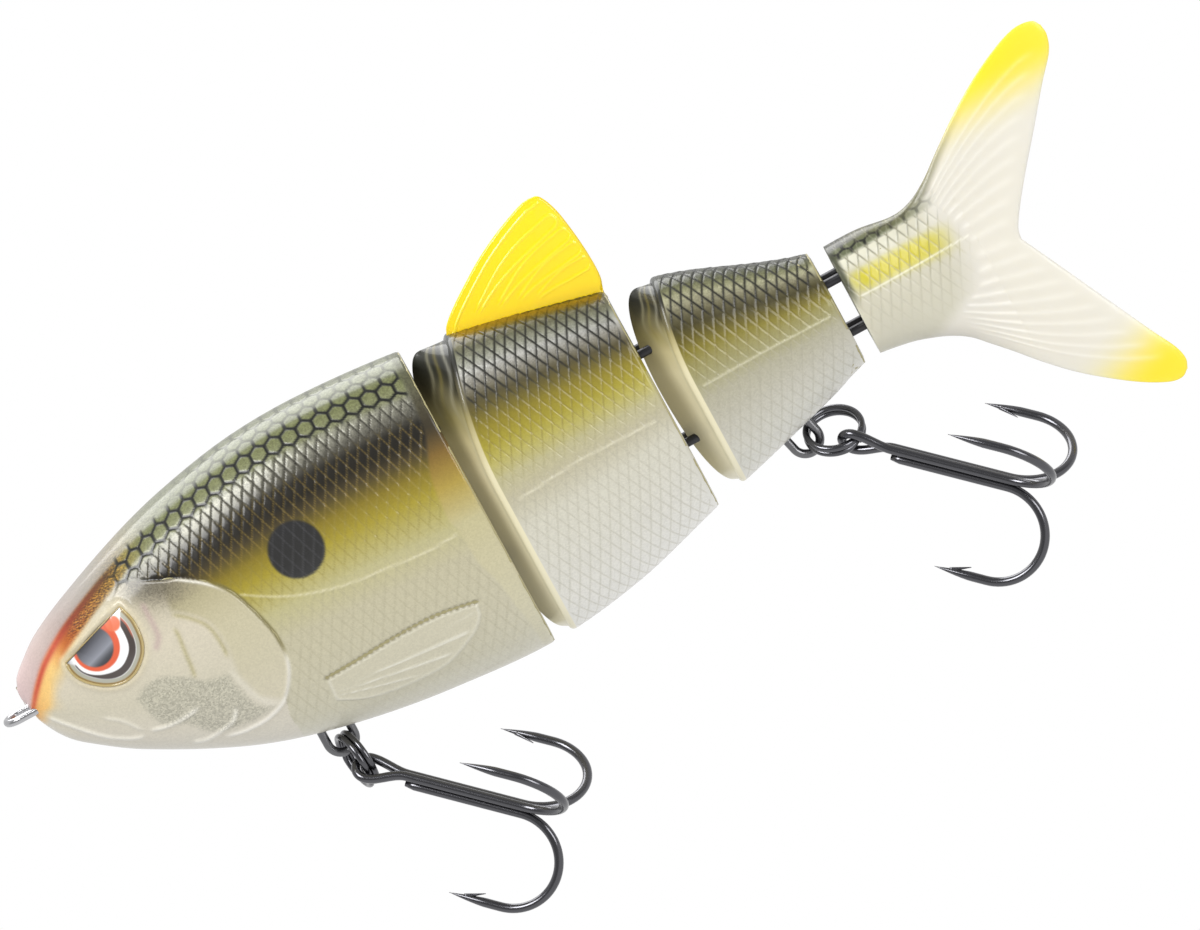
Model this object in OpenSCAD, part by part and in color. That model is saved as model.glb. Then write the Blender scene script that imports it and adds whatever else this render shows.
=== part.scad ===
// Four-section jointed swimbait: a hard fish lure with a soft tail and two treble hooks.
// X runs from the nose to the tail, Y across the body, Z up to the back.
// The origin is the centre of the line tie's eye.

/* [Body] */
// Distance from the nose to the tips of the tail
lure_len = 152; // [149:0.5:155]
// Depth of the body from back to belly at its deepest
body_depth = 42.2; // [41:0.2:43.4]
// Thickness of the body from side to side at its thickest
body_thick = 21.2; // [20.4:0.2:22.4]
// Wall of the moulded half shells
wall = 1.4; // [1.2:0.1:1.6]
// Length of the head, from the nose to its rear rim
head_len = 62; // [61.4:0.2:62.6]
// Length of the front body section, rim to rim
front_len = 23.7; // [23.2:0.1:24.2]
// Length of the rear body section, rim to rim
rear_len = 20.8; // [20.4:0.1:21.2]

/* [Joints] */
// Rim gap between the head and the front section
gap_1 = 2.4; // [2.2:0.1:2.6]
// Rim gap between the two body sections
gap_2 = 3.8; // [3.6:0.1:4]
// Rim gap between the rear section and the tail
gap_3 = 2.2; // [2:0.1:2.4]
// Wire of the link loops
link_wire = 1.2; // [1.1:0.05:1.3]
// Diameter of the hinge pins
pin_d = 1.6; // [1.5:0.05:1.7]
// Play between a link loop and its hinge pin
link_play = 0.3; // [0.25:0.05:0.35]
// Depth that the links reach into the section behind them
link_grip = 5.2; // [4.8:0.1:5.4]

/* [Hardware] */
// Wire of the line tie
tie_wire = 1; // [0.9:0.05:1.1]
// Inside diameter of the line tie's eye
tie_eye = 2.4; // [2.2:0.1:2.6]
// Distance from the line tie's eye to the nose
nose_x = 1.3; // [1.2:0.05:1.4]
// Wire of the hook hangers
hanger_wire = 1.15; // [1.1:0.05:1.2]
// Outside width of a hook hanger
hanger_w = 4.8; // [4.7:0.05:4.9]
// How far a hook hanger stands out of the belly
hanger_drop = 4.1; // [4.05:0.05:4.2]
// Diameter of the ballast weights
ballast_d = 6.4; // [6:0.1:6.8]
// Length of the head's ballast weight
ballast_len = 12; // [10:0.5:12]

/* [Hooks] */
// Outside diameter of a split ring
ring_d = 7.96; // [7.9:0.02:8.04]
// Wire of a split ring
ring_wire = 0.86; // [0.82:0.02:0.88]
// Length of a treble hook from its eye to its bends
hook_len = 29.1; // [28.3:0.1:30]
// Distance from the shank to a hook point
hook_reach = 13; // [12.6:0.1:13.4]
// Wire of a treble hook
hook_wire = 1.2; // [1.15:0.05:1.2]
// How far the points reach back from the bends
hook_bite = 13.6; // [13:0.1:14.2]

/* [Trim] */
// Diameter of an eye
eye_d = 8.6; // [8.2:0.1:9]
// Thickness of the dorsal fin
fin_thick = 1.5; // [1.3:0.1:1.7]
// Height of the dorsal fin over the back
fin_rise = 12.4; // [11.6:0.2:13]
// Thickness of the forked tail fin
fork_thick = 1.6; // [1.4:0.1:1.8]

/* [Hidden] */
$fn = 40;

fit = 0.08;                 // clearance round a wire or slug that its housing grips
running = 0.04;             // radial clearance of a hinge pin in its bore
fullness = 0.85;            // below 1 the cross-section is fuller than an ellipse
steps_t = 16;               // facets from belly to back

// Places along the body, as distances from the nose
front_d = head_len + gap_1;            // front rim of the front section
front_end = front_d + front_len;       // its rear rim
rear_d = front_end + gap_2;            // front rim of the rear section
rear_end = rear_d + rear_len;          // its rear rim
tail_d = rear_end + gap_3;             // front face of the tail

// Slopes of the joint faces
head_dish = 13;             // the head's rear face, hollow
front_wedge = 23.5;         // the front section's nose
front_dish = 5;             // the front section's rear face, hollow
rear_wedge = 27;            // the rear section's nose
bevel = 0.7;                // how far a nose steps in from the skin
setback_1 = 3.5;            // the front section's rim leans back at the top
setback_2 = 2;              // the same on the rear section

// Places of the pins ahead of the rims
pin_back_1 = 5.2;
pin_back_2 = 3.5;
pin_back_3 = 3.3;
pin_over = 3.4;             // how far a pin runs past its outer links
loop_r = pin_d / 2 + link_play + link_wire / 2;     // centre line of a link loop
slot_play = 0.4;            // room over and under a link in its slot
slot_side = 1.7;            // room beside a link for the swing
mouth = 1;                  // depth of the slots' mouths across the rear rims

// The outline: [share of the length, share of the depth or thickness]
back_line = [[0.0016, 0.081], [0.0046, 0.104], [0.0171, 0.145], [0.034, 0.19],
             [0.068, 0.249], [0.134, 0.341], [0.184, 0.393], [0.25, 0.436],
             [0.316, 0.445], [0.408, 0.419], [0.493, 0.367], [0.579, 0.289],
             [0.641, 0.227], [0.707, 0.13], [0.743, 0.09], [0.789, 0.085], [0.87, 0.1]];
belly_line = [[0.0016, 0.024], [0.0046, -0.036], [0.0171, -0.118], [0.034, -0.175],
              [0.068, -0.261], [0.134, -0.386], [0.184, -0.455], [0.25, -0.512],
              [0.316, -0.547], [0.408, -0.569], [0.493, -0.531], [0.579, -0.445],
              [0.641, -0.386], [0.707, -0.318], [0.743, -0.277], [0.789, -0.291],
              [0.87, -0.4]];
side_line = [[0.0016, 0.047], [0.0046, 0.085], [0.0171, 0.17], [0.034, 0.24],
             [0.068, 0.34], [0.134, 0.448], [0.25, 0.5], [0.316, 0.495],
             [0.408, 0.467], [0.493, 0.425], [0.579, 0.373], [0.641, 0.325],
             [0.707, 0.264], [0.743, 0.226], [0.789, 0.184], [0.87, 0.09]];
nose_d = back_line[0][0] * lure_len;   // the first full ring of the nose

// Smooth curve through points, each with the slope of the line past its neighbours
function cell(p, s, k = 0) = k >= len(p) - 2 || s < p[k + 1][0] ? k : cell(p, s, k + 1);
function slope(p, i) =
    let (a = max(i - 1, 0), b = min(i + 1, len(p) - 1))
    (p[b][1] - p[a][1]) / (p[b][0] - p[a][0]);
function curve(p, s) =
    let (k = cell(p, s), h = p[k + 1][0] - p[k][0], t = (s - p[k][0]) / h,
         t2 = t * t, t3 = t2 * t)
    (2 * t3 - 3 * t2 + 1) * p[k][1] + (t3 - 2 * t2 + t) * h * slope(p, k)
    + (3 * t2 - 2 * t3) * p[k + 1][1] + (t3 - t2) * h * slope(p, k + 1);
function back(d) = body_depth * curve(back_line, d / lure_len);
function belly(d) = body_depth * curve(belly_line, d / lure_len);
function half(d) = body_thick * curve(side_line, d / lure_len);

// Heights of the upper and lower link of each joint, set in from the back and the belly
link_z1 = [back(front_d) - 10.17, belly(front_d) + 12.3];
link_z2 = [back(rear_d) - 8, belly(rear_d) + 8.15];
link_z3 = [back(tail_d) - 3.9, belly(tail_d) + 4.4];

// A point of the skin at distance d from the nose. t runs from -90 at the belly to 90 at
// the back, and the skin is taken in by side_in all round, or by roof and floor at its ends.
function skin(d, t, side_in = 0, roof = 0, floor = 0) =
    let (top = back(d) - roof, low = belly(d) + floor,
         middle = (top + low) / 2 + 0.03 * (top - low),
         reach = sin(t) > 0 ? top - middle : middle - low)
    [nose_x + d, (half(d) - side_in) * pow(cos(t), fullness), middle + reach * sin(t)];

// Rows of a section's nose face, from its middle ridge out to its rim, then the skin
function nose_rows(d, wedge, setback, n) =
    [for (v = [0:n]) [for (j = [0:steps_t])
        let (t = -90 + 180 * j / steps_t, lean = setback * pow(max(sin(t), 0), 2),
             rim = skin(d + lean, t, bevel, bevel, bevel),
             foot = skin(d, t, bevel, bevel, bevel),
             ridge = [foot[0] - tan(wedge) * foot[1], 0, foot[2]])
        ridge + (rim - ridge) * v / n]];
function step_row(d, setback) =
    [for (j = [0:steps_t])
        let (t = -90 + 180 * j / steps_t)
        skin(d + bevel + setback * pow(max(sin(t), 0), 2), t)];
// A skin row moves back with the leaning rim near it
function skin_rows(d0, d1, lean, n) =
    [for (i = [1:n - 1]) [for (j = [0:steps_t])
        let (t = -90 + 180 * j / steps_t, a = d0 + lean * pow(max(sin(t), 0), 2))
        skin(a + (d1 - a) * i / n, t)]];
// Rows of a rear face, from its rim in to its hollow middle
function rear_rows(d, dish, n) =
    [for (v = [n:-1:0]) [for (j = [0:steps_t])
        let (t = -90 + 180 * j / steps_t, rim = skin(d, t),
             middle = [rim[0] - tan(dish) * rim[1], 0, rim[2]])
        middle + (rim - middle) * v / n]];
// How far the belly is built up inside: over the hanger in the head, under the ballast in
// the head and the front section, and over the hanger in the rear section
cradle_lead = 2;            // how far the ballast's cradle runs ahead of it
cradle_drop = 0.2;          // from the ballast's centre line down to the cradle's rim
function sole(d) =
    d < hanger_d1 - hanger_w || d > rear_end ? wall
    : d < ballast_d1 - cradle_lead ? hanger_sole
    : d < head_len ? ballast_z1 - cradle_drop - belly(d)
    : d < front_end ? ballast_z2 - cradle_drop - belly(d)
    : hanger_sole;
// Distances of the rows of a rear face, and of all rows of a section with a nose face
function rear_ds(d, n) = [for (v = [0:n]) d];
function section_ds(d0, d1, n) =
    concat([for (v = [0:3]) d0], [d0 + bevel],
           [for (i = [1:n - 1]) d0 + bevel + (d1 - d0 - bevel) * i / n], rear_ds(d1, 3));
// Rows of the hollow inside a section, each level with a row of its outside, at distance
// ds[i], or at the hollow's end d0 or d1 where the outside runs past it
function hollow_rows(ds, d0, d1, roof) =
    let (last = len(ds) - 1)
    [for (i = [0:last]) [for (j = [0:steps_t])
        let (d = min(max(ds[i], d0), d1),
             p = skin(d, -90 + 180 * j / steps_t, wall, roof, sole(d)))
        i == 0 || i == last ? [p[0], 0, p[2]] : p]];

// Closed half shell on one side of the seam plane, from the rows of its outside and inside.
// The two grids are joined by a strip in the seam plane
module half_shell(outer, inner, side) {
    n = len(outer) - 1;
    m = steps_t + 1;
    all = len(outer) * m;
    pts = [for (g = [outer, inner]) for (r = g) for (p = r) [p[0], side * p[1], p[2]]];
    grid = [for (i = [0:n - 1]) for (j = [0:steps_t - 1])
        let (a = i * m + j, b = a + 1, c = a + m + 1, e = a + m)
        each j < steps_t / 2 ? [[a, c, b], [a, e, c]] : [[a, e, b], [b, e, c]]];
    rim = concat([for (j = [0:steps_t]) j], [for (i = [1:n]) i * m + steps_t],
                 [for (j = [1:steps_t]) n * m + steps_t - j], [for (i = [1:n - 1]) (n - i) * m]);
    k = len(rim);
    seam = [for (i = [0:k - 1])
        let (a = rim[i], b = rim[(i + 1) % k])
        each [[a, b, a + all], [b, b + all, a + all]]];
    faces = concat(grid, [for (f = grid) [f[2] + all, f[1] + all, f[0] + all]], seam);
    polyhedron(points = pts,
               faces = side > 0 ? faces : [for (f = faces) [f[2], f[1], f[0]]]);
}

// A closed wire loop with round ends, long along X, its near end centred on the origin
module long_loop(r, length, wire_r) {
    rotate([0, 0, 90]) rotate_extrude(angle = 180) translate([r, 0]) circle(r = wire_r);
    translate([length, 0, 0]) rotate([0, 0, -90])
        rotate_extrude(angle = 180) translate([r, 0]) circle(r = wire_r);
    for (s = [-1, 1]) translate([0, s * r, 0]) rotate([0, 90, 0])
        cylinder(h = length, r = wire_r);
}

// ---- Line tie ----
tie_r = tie_eye / 2 + tie_wire / 2;
tie_long = nose_x + 9;      // from the eye outside to the buried end
module tie_loop(grow = 0) long_loop(tie_r, tie_long, tie_wire / 2 + grow);
module line_tie() color("gainsboro") tie_loop();

// ---- Hook hangers: a long loop of wire, half of it buried over a post ----
hanger_r = (hanger_w - hanger_wire) / 2;
hanger_d1 = 32.6;           // place of the front hanger
hanger_d2 = 101.1;          // place of the rear hanger
hanger_lean = 14;           // the rear hanger stands square to the rising belly
hanger_long = 6.4;          // from the outer arc's centre to the buried arc's centre
arc_drop = hanger_drop - hanger_wire / 2 - hanger_r;
hanger_cover = 1;           // solid over a hanger's buried end
hanger_sole = hanger_long + hanger_w / 2 + hanger_cover;
function hanger_foot(d) = [nose_x + d, 0, belly(d)];
module at_hanger(d, lean) translate(hanger_foot(d)) rotate([0, -lean, 0]) children();
module hanger_loop()
    translate([0, 0, -arc_drop]) rotate([0, -90, 0]) rotate([90, 0, 0])
        long_loop(hanger_r, hanger_long, hanger_wire / 2);
// The slot that the two shells leave for the loop, with a post through its buried end
module hanger_slot() {
    w = hanger_w + 2 * fit;
    t = hanger_wire + 2 * fit;
    top = hanger_long - arc_drop + hanger_w / 2 + fit;
    difference() {
        translate([-w / 2, -t / 2, -hanger_drop]) cube([w, t, top + hanger_drop]);
        translate([0, 0, hanger_long - arc_drop]) rotate([90, 0, 0])
            cylinder(h = 2 * t, r = hanger_r - hanger_wire / 2 - fit, center = true);
    }
}
module front_hanger() color("dimgray") at_hanger(hanger_d1, 0) hanger_loop();
module rear_hanger() color("dimgray") at_hanger(hanger_d2, hanger_lean) hanger_loop();

// ---- Links and hinge pins ----
// A hairpin of wire: its bow runs round the pin, its legs end in outward feet
foot_len = 1.1;
module link(x0, x1, z, grow = 0) {
    r = link_wire / 2 + grow;
    translate([x0, 0, z]) {
        rotate([0, 0, 90]) rotate_extrude(angle = 180) translate([loop_r, 0]) circle(r = r);
        for (s = [-1, 1]) {
            translate([0, s * loop_r, 0]) rotate([0, 90, 0]) cylinder(h = x1 - x0, r = r);
            translate([x1 - x0, s * loop_r, 0]) sphere(r = r);
            translate([x1 - x0, s * loop_r, 0]) rotate([-90 * s, 0, 0])
                cylinder(h = foot_len + grow, r = r);
        }
    }
}
pin_x1 = nose_x + head_len - pin_back_1;
pin_x2 = nose_x + front_end - pin_back_2;
pin_x3 = nose_x + rear_end - pin_back_3;
grip_x1 = nose_x + front_d + link_grip - link_wire;
grip_x2 = nose_x + rear_d + link_grip - link_wire;
grip_x3 = nose_x + tail_d + link_grip - link_wire;
module pin(x, zs, grow = 0)
    translate([x, 0, zs[1] - pin_over - grow])
        cylinder(h = zs[0] - zs[1] + 2 * (pin_over + grow), r = pin_d / 2 + grow);
module hinge_pin_1() color("silver") pin(pin_x1, link_z1);
module hinge_pin_2() color("silver") pin(pin_x2, link_z2);
module hinge_pin_3() color("silver") pin(pin_x3, link_z3);
module link_1_upper() color("dimgray") link(pin_x1, grip_x1, link_z1[0]);
module link_1_lower() color("dimgray") link(pin_x1, grip_x1, link_z1[1]);
module link_2_upper() color("dimgray") link(pin_x2, grip_x2, link_z2[0]);
module link_2_lower() color("dimgray") link(pin_x2, grip_x2, link_z2[1]);
module link_3_upper() color("dimgray") link(pin_x3, grip_x3, link_z3[0]);
module link_3_lower() color("dimgray") link(pin_x3, grip_x3, link_z3[1]);

// Slots in a rear face for the links to swing in, with the bore of their pin
module link_slots(pin_x, rim_x, zs) {
    deep = link_room;
    wide = 2 * (loop_r + link_wire / 2 + slot_side);
    tall = link_wire + 2 * slot_play;
    for (z = zs) {
        translate([pin_x - deep, -wide / 2, z - tall / 2])
            cube([rim_x - pin_x + deep + 1, wide, tall]);
        translate([rim_x - mouth, -body_thick / 2, z - tall / 2])
            cube([mouth + 1, body_thick, tall]);
    }
    pin(pin_x, zs, running);
}

// ---- Head ----
head_spread = [0, 0.006, 0.014, 0.026, 0.044, 0.068, 0.1, 0.14, 0.19, 0.25, 0.31, 0.375, 0.42,
               0.45, 0.52, 0.6, 0.66, 0.7, 0.77, 0.83, 0.92];
head_ds = [for (s = head_spread) nose_d + (head_len - nose_d) * s];
head_rows = concat(
    [[for (j = [0:steps_t]) let (p = skin(nose_d, -90 + 180 * j / steps_t)) [nose_x, 0, p[2]]]],
    [for (d = head_ds) [for (j = [0:steps_t]) skin(d, -90 + 180 * j / steps_t)]],
    rear_rows(head_len, head_dish, 3));
hollow_start = 17;          // the head is solid ahead of this
slot_wall = [1.6, 1.4, 1.2];            // solid between each hollow and the slots behind it
link_room = loop_r + link_wire / 2 + slot_play;     // a slot's depth ahead of its pin
head_hollow = [hollow_start, head_len - pin_back_1 - link_room - slot_wall[0]];

// Ballast: a slug lying in a cradle moulded in the belly
ballast_gap = 0.5;          // from the slug to the end of the hollow
ballast_d1 = head_hollow[1] - ballast_gap - ballast_len;
ballast_z1 = belly(ballast_d1) + 6.48;
slug_less = 0.6;            // the front section's slug is thinner by this, all round
slug_r2 = ballast_d / 2 - slug_less;
ballast_len2 = 8;
ballast_z2 = belly(front_d) + 9.4;
module slug(x, z, r, length) translate([x, 0, z]) rotate([0, 90, 0]) cylinder(h = length, r = r);
module head_slug(grow = 0)
    slug(nose_x + ballast_d1 - grow, ballast_z1, ballast_d / 2 + grow, ballast_len + 2 * grow);
module head_ballast() color("slategray") head_slug();

// Eyes: a printed disc under a clear dome, set in a round socket
eye_at = 12.1;              // distance of the eye from the nose
eye_z = 4;
eye_yaw = 17;               // the socket faces a little forward
eye_tilt = 6;               // and a little up
disc_t = 0.4;
eye_sink = 1.1;             // depth of the socket under the skin at its centre
dome_rise = 1.5;
eye_y = half(eye_at) - eye_sink;
module at_eye(side)
    translate([nose_x + eye_at, side * eye_y, eye_z])
        rotate([side * (eye_tilt - 90), 0, side * eye_yaw]) children();
dome_edge = eye_sink - disc_t;
module dome_profile() {
    r = eye_d / 2;
    big = (r * r + dome_rise * dome_rise) / (2 * dome_rise);
    intersection() {
        union() {
            square([r, dome_edge]);
            translate([0, dome_edge + dome_rise - big]) circle(r = big, $fn = 120);
        }
        square([r, dome_edge + dome_rise]);
    }
}
module eye_disc(side) at_eye(side) cylinder(h = disc_t, r = eye_d / 2);
module eye_dome(side) at_eye(side) translate([0, 0, disc_t]) rotate_extrude() dome_profile();
module eye_disc_left() color("orangered") eye_disc(-1);
module eye_disc_right() color("orangered") eye_disc(1);
module eye_dome_left() color("lightblue", 0.5) eye_dome(-1);
module eye_dome_right() color("lightblue", 0.5) eye_dome(1);

module head_shell(side) {
    difference() {
        half_shell(head_rows, hollow_rows(concat([0], head_ds, rear_ds(head_len, 3)),
                                          head_hollow[0], head_hollow[1], wall), side);
        at_eye(side) cylinder(h = body_thick, r = eye_d / 2 + fit);
        tie_loop(fit);
        at_hanger(hanger_d1, 0) hanger_slot();
        head_slug(fit);
        link_slots(pin_x1, nose_x + head_len, link_z1);
    }
}
module head_shell_left() color("darkkhaki") head_shell(-1);
module head_shell_right() color("darkkhaki") head_shell(1);

// ---- Front body section ----
front_rows = concat(nose_rows(front_d, front_wedge, setback_1, 3), [step_row(front_d, setback_1)],
                    skin_rows(front_d + bevel, front_end, setback_1, 7),
                    rear_rows(front_end, front_dish, 3));
foot_wall = [0.8, 0.6];                 // solid behind the links' feet
front_block = link_grip + foot_wall[0];
front_hollow = [front_d + front_block, front_end - pin_back_2 - link_room - slot_wall[1]];
fin_tang = 3;                           // depth of the fin's root in the back
tang_wall = 1.2;                        // solid under the root
fin_roof = fin_tang + tang_wall;
slug_lead = 0.6;                        // from the solid nose to the slug
module front_slug(grow = 0)
    slug(nose_x + front_d + front_block + slug_lead - grow, ballast_z2, slug_r2 + grow,
         ballast_len2 + 2 * grow);
module front_ballast() color("slategray") front_slug();
module front_shell(side) {
    difference() {
        half_shell(front_rows, hollow_rows(section_ds(front_d, front_end, 7),
                                           front_hollow[0], front_hollow[1], fin_roof), side);
        for (z = link_z1) link(pin_x1, grip_x1, z, fit);
        front_slug(fit);
        fin_plate(fit);
        link_slots(pin_x2, nose_x + front_end, link_z2);
    }
}
module front_shell_left() color("darkkhaki") front_shell(-1);
module front_shell_right() color("darkkhaki") front_shell(1);

// Dorsal fin: a sail whose front edge arches back to a blunt tip, on a root in the back
fin_lead = 0.4;                         // from the rim to the front of the fin's base
fin_trail = 0.3;                        // from the rear of the base to the rear rim
fin_d0 = front_d + setback_1 + fin_lead;
fin_d1 = front_end - fin_trail;
tang_step = 0.8;                        // how far the root steps in from the base's ends
fin_over = 0.5;                         // how far the rear edge stands out behind the base
tip_round = 2.2;                        // length of the tip's rounding
fall = 0.42;                            // share of the back's fall that the front edge takes
// The front edge: rise over the back line against the share of the base length
function fin_edge(s) = fin_rise * pow(sin(90 * s), 0.82);
fin_tip_share = 0.88;
module fin_outline() {
    base = fin_d1 - fin_d0;
    front_edge = [for (s = [0:0.1:1])
        let (d = fin_d0 + base * fin_tip_share * s)
        [nose_x + d, back(fin_d0) + fin_edge(s) - (back(fin_d0) - back(fin_d1)) * fall * s]];
    tip = front_edge[len(front_edge) - 1];
    rear_x = nose_x + fin_d1 + fin_over;
    polygon(concat(front_edge,
        [tip + tip_round * [0.64, -0.18], tip + tip_round * [1, -0.73],
         [rear_x, (tip[1] + back(fin_d1)) / 2], [rear_x, back(fin_d1) + tang_step],
         [rear_x - fin_over, back(fin_d1)],
         [nose_x + fin_d1 - tang_step, back(fin_d1) - fin_tang],
         [nose_x + fin_d0 + tang_step, back(fin_d0) - fin_tang],
         [nose_x + fin_d0, back(fin_d0) - fin_over]]));
}
module fin_plate(grow = 0)
    translate([0, fin_thick / 2 + grow, 0]) rotate([90, 0, 0])
        linear_extrude(fin_thick + 2 * grow) fin_outline();
module dorsal_fin() color("yellow") fin_plate();

// ---- Rear body section ----
rear_rows_all = concat(nose_rows(rear_d, rear_wedge, setback_2, 3), [step_row(rear_d, setback_2)],
                       skin_rows(rear_d + bevel, rear_end, setback_2, 6),
                       rear_rows(rear_end, 0, 3));
rear_block = link_grip + foot_wall[1];
rear_hollow = [rear_d + rear_block, rear_end - pin_back_3 - link_room - slot_wall[2]];
module rear_shell(side) {
    difference() {
        half_shell(rear_rows_all, hollow_rows(section_ds(rear_d, rear_end, 6),
                                              rear_hollow[0], rear_hollow[1], wall), side);
        for (z = link_z2) link(pin_x2, grip_x2, z, fit);
        at_hanger(hanger_d2, hanger_lean) hanger_slot();
        link_slots(pin_x3, nose_x + rear_end, link_z3);
    }
}
module rear_shell_left() color("darkkhaki") rear_shell(-1);
module rear_shell_right() color("darkkhaki") rear_shell(1);

// ---- Tail: a soft forked fin moulded round a hard core ----
core_end = 1;               // core behind the links' feet
core_cover = 2.2;           // core over and under the links
core_len = link_grip + core_end;
core_t = 2 * (loop_r + link_wire);
core_top = link_z3[0] + core_cover;
core_low = link_z3[1] - core_cover;
core_cut = 1.2;             // cut off its long corners
module core_block(grow = 0) {
    w = core_t / 2 + grow;
    low = core_low - grow;
    top = core_top + grow;
    translate([nose_x + tail_d - grow, 0, 0]) rotate([90, 0, 90])
        linear_extrude(core_len + 2 * grow)
            polygon([[-w, low + core_cut], [core_cut - w, low], [w - core_cut, low],
                     [w, low + core_cut], [w, top - core_cut], [w - core_cut, top],
                     [core_cut - w, top], [-w, top - core_cut]]);
}
module tail_core() color("tan") difference() {
    core_block();
    for (z = link_z3) link(pin_x3, grip_x3, z, fit);
}
root_len = 12;              // the full part of the tail behind its front face
root_rings = 5;
root_rows = [for (i = [0:root_rings]) [for (j = [0:2 * steps_t - 1])
    let (t = -90 + 180 * j / steps_t, d = tail_d + root_len * i / root_rings,
         p = skin(d, t > 90 ? 180 - t : t),
         thin = fork_thick / 2 * 0.9 / half(tail_d + root_len),
         k = 1 - (1 - thin) * pow(i / root_rings, 2))
    [p[0], (t > 90 ? -1 : 1) * p[1] * k, p[2]]]];
module ring_body(rows) {
    n = len(rows) - 1;
    m = len(rows[0]);
    polyhedron(points = [for (r = rows) each r],
        faces = concat([for (i = [0:n - 1]) for (j = [0:m - 1])
            let (a = i * m + j, b = i * m + (j + 1) % m, c = b + m, e = a + m)
            each [[a, c, b], [a, e, c]]],
            [[for (j = [0:m - 1]) j]], [[for (j = [m - 1:-1:0]) n * m + j]]));
}
// The fork's outline, as [distance ahead of the tips, height over the line tie], drawn for a
// tail of this length on a body of this depth
fork_long = 37.1;
fork_deep = 42.2;
fork_pts = [[32, 3.6], [27.8, 2.9], [25, 3.5], [22.2, 5.1], [18.8, 7.8], [14.8, 10.8],
            [10.1, 13.8], [5.8, 15.9], [3, 16.7], [0.9, 16.5], [0, 15.5], [0, 14], [0.8, 11.8],
            [3.3, 8.8], [6.8, 4.3], [10.4, -0.2], [13, -3.7], [14.5, -6.1], [14.8, -7.6],
            [13.4, -10.3], [11.5, -14.2], [9.6, -18.1], [7.7, -22], [5.8, -25.9], [4.2, -29],
            [3.7, -31.2], [4.1, -32.3], [5.2, -33], [7, -32.7], [10.1, -31], [13.5, -28.5],
            [16.8, -25.7], [19.8, -22.6], [22.3, -19.7], [24.3, -17.5], [26.3, -15.4],
            [28.7, -14], [32, -12.8]];
module tail_fin() color("ivory") difference() {
    union() {
        ring_body(root_rows);
        translate([0, fork_thick / 2, 0]) rotate([90, 0, 0]) linear_extrude(fork_thick)
            polygon([for (p = fork_pts)
                [nose_x + lure_len - p[0] * (lure_len - tail_d) / fork_long,
                 p[1] * body_depth / fork_deep]]);
    }
    core_block(fit);
}

// ---- Split rings and treble hooks ----
ring_r = (ring_d - ring_wire) / 2;
turn_gap = ring_wire * 0.49;            // half the distance between the two turns
// Ring centre from the centre of the hanger's arc, as a share of the ring's radius
arc_1 = hanger_foot(hanger_d1) + [0, 0, -arc_drop];
arc_2 = hanger_foot(hanger_d2) + arc_drop * [sin(hanger_lean), 0, -cos(hanger_lean)];
ring_c1 = arc_1 + ring_r * [0.155, -0.18, -0.898];
ring_c2 = arc_2 + ring_r * [1.048, -0.062, -0.193];
ring_turn1 = [0, 87.3, 13.9];           // turns Z to the ring's axis
ring_turn2 = [0, 145.9, 106.7];
module split_ring(at, turn)
    translate(at) rotate(turn) for (s = [-1, 1]) translate([0, 0, s * turn_gap])
        rotate_extrude() translate([ring_r, 0]) circle(r = ring_wire / 2);
module front_split_ring() color("dimgray") split_ring(ring_c1, ring_turn1);
module rear_split_ring() color("dimgray") split_ring(ring_c2, ring_turn2);

// Trebles: a double hook bent from one wire, with a single hook brazed in its groove.
// In the hook's own frame the shank runs along X from the eye, and Z is up.
hook_r = hook_wire / 2;
hook_eye_r = 1.6;
shank_r = hook_r * 1.2;                 // shanks' centres from the bundle's axis
eye_neck = 5;                           // from the eye's centre to where the shanks start
hook_eye1 = ring_c1 + ring_r * [-0.237, -0.679, 0.093];
hook_eye2 = ring_c2 + ring_r * [-0.034, -0.527, -0.155];
hook_turn = [-12.3, 37.8, -24.2];
hook_roll = 0;
prong_up = [60, -60];
prong_down = 180;
point_r = 0.07;
taper = 0.45;               // share of the spear, behind the point, that keeps its full wire
function prong_dir(a) = [0, sin(a + hook_roll), cos(a + hook_roll)];

// A bent round wire as rings of points square to its path, carried along without a twist
wire_sides = 12;
function unit(v) = v / norm(v);
function headings(path) = [for (i = [0:len(path) - 1])
    unit(path[min(i + 1, len(path) - 1)] - path[max(i - 1, 0)])];
function carried(t, i, n) =
    let (m = unit(n - (n * t[i]) * t[i])) i == len(t) - 1 ? [m] : concat([m], carried(t, i + 1, m));
module wire(path, radii) {
    t = headings(path);
    n = carried(t, 0, cross(t[0], [0.3, 0.5, 0.8]));
    ring_body([for (i = [0:len(path) - 1]) let (m = n[i], b = cross(t[i], m))
        [for (k = [0:wire_sides - 1])
            let (w = 360 * k / wire_sides) path[i] + radii[i] * (cos(w) * m + sin(w) * b)]]);
}

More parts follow.
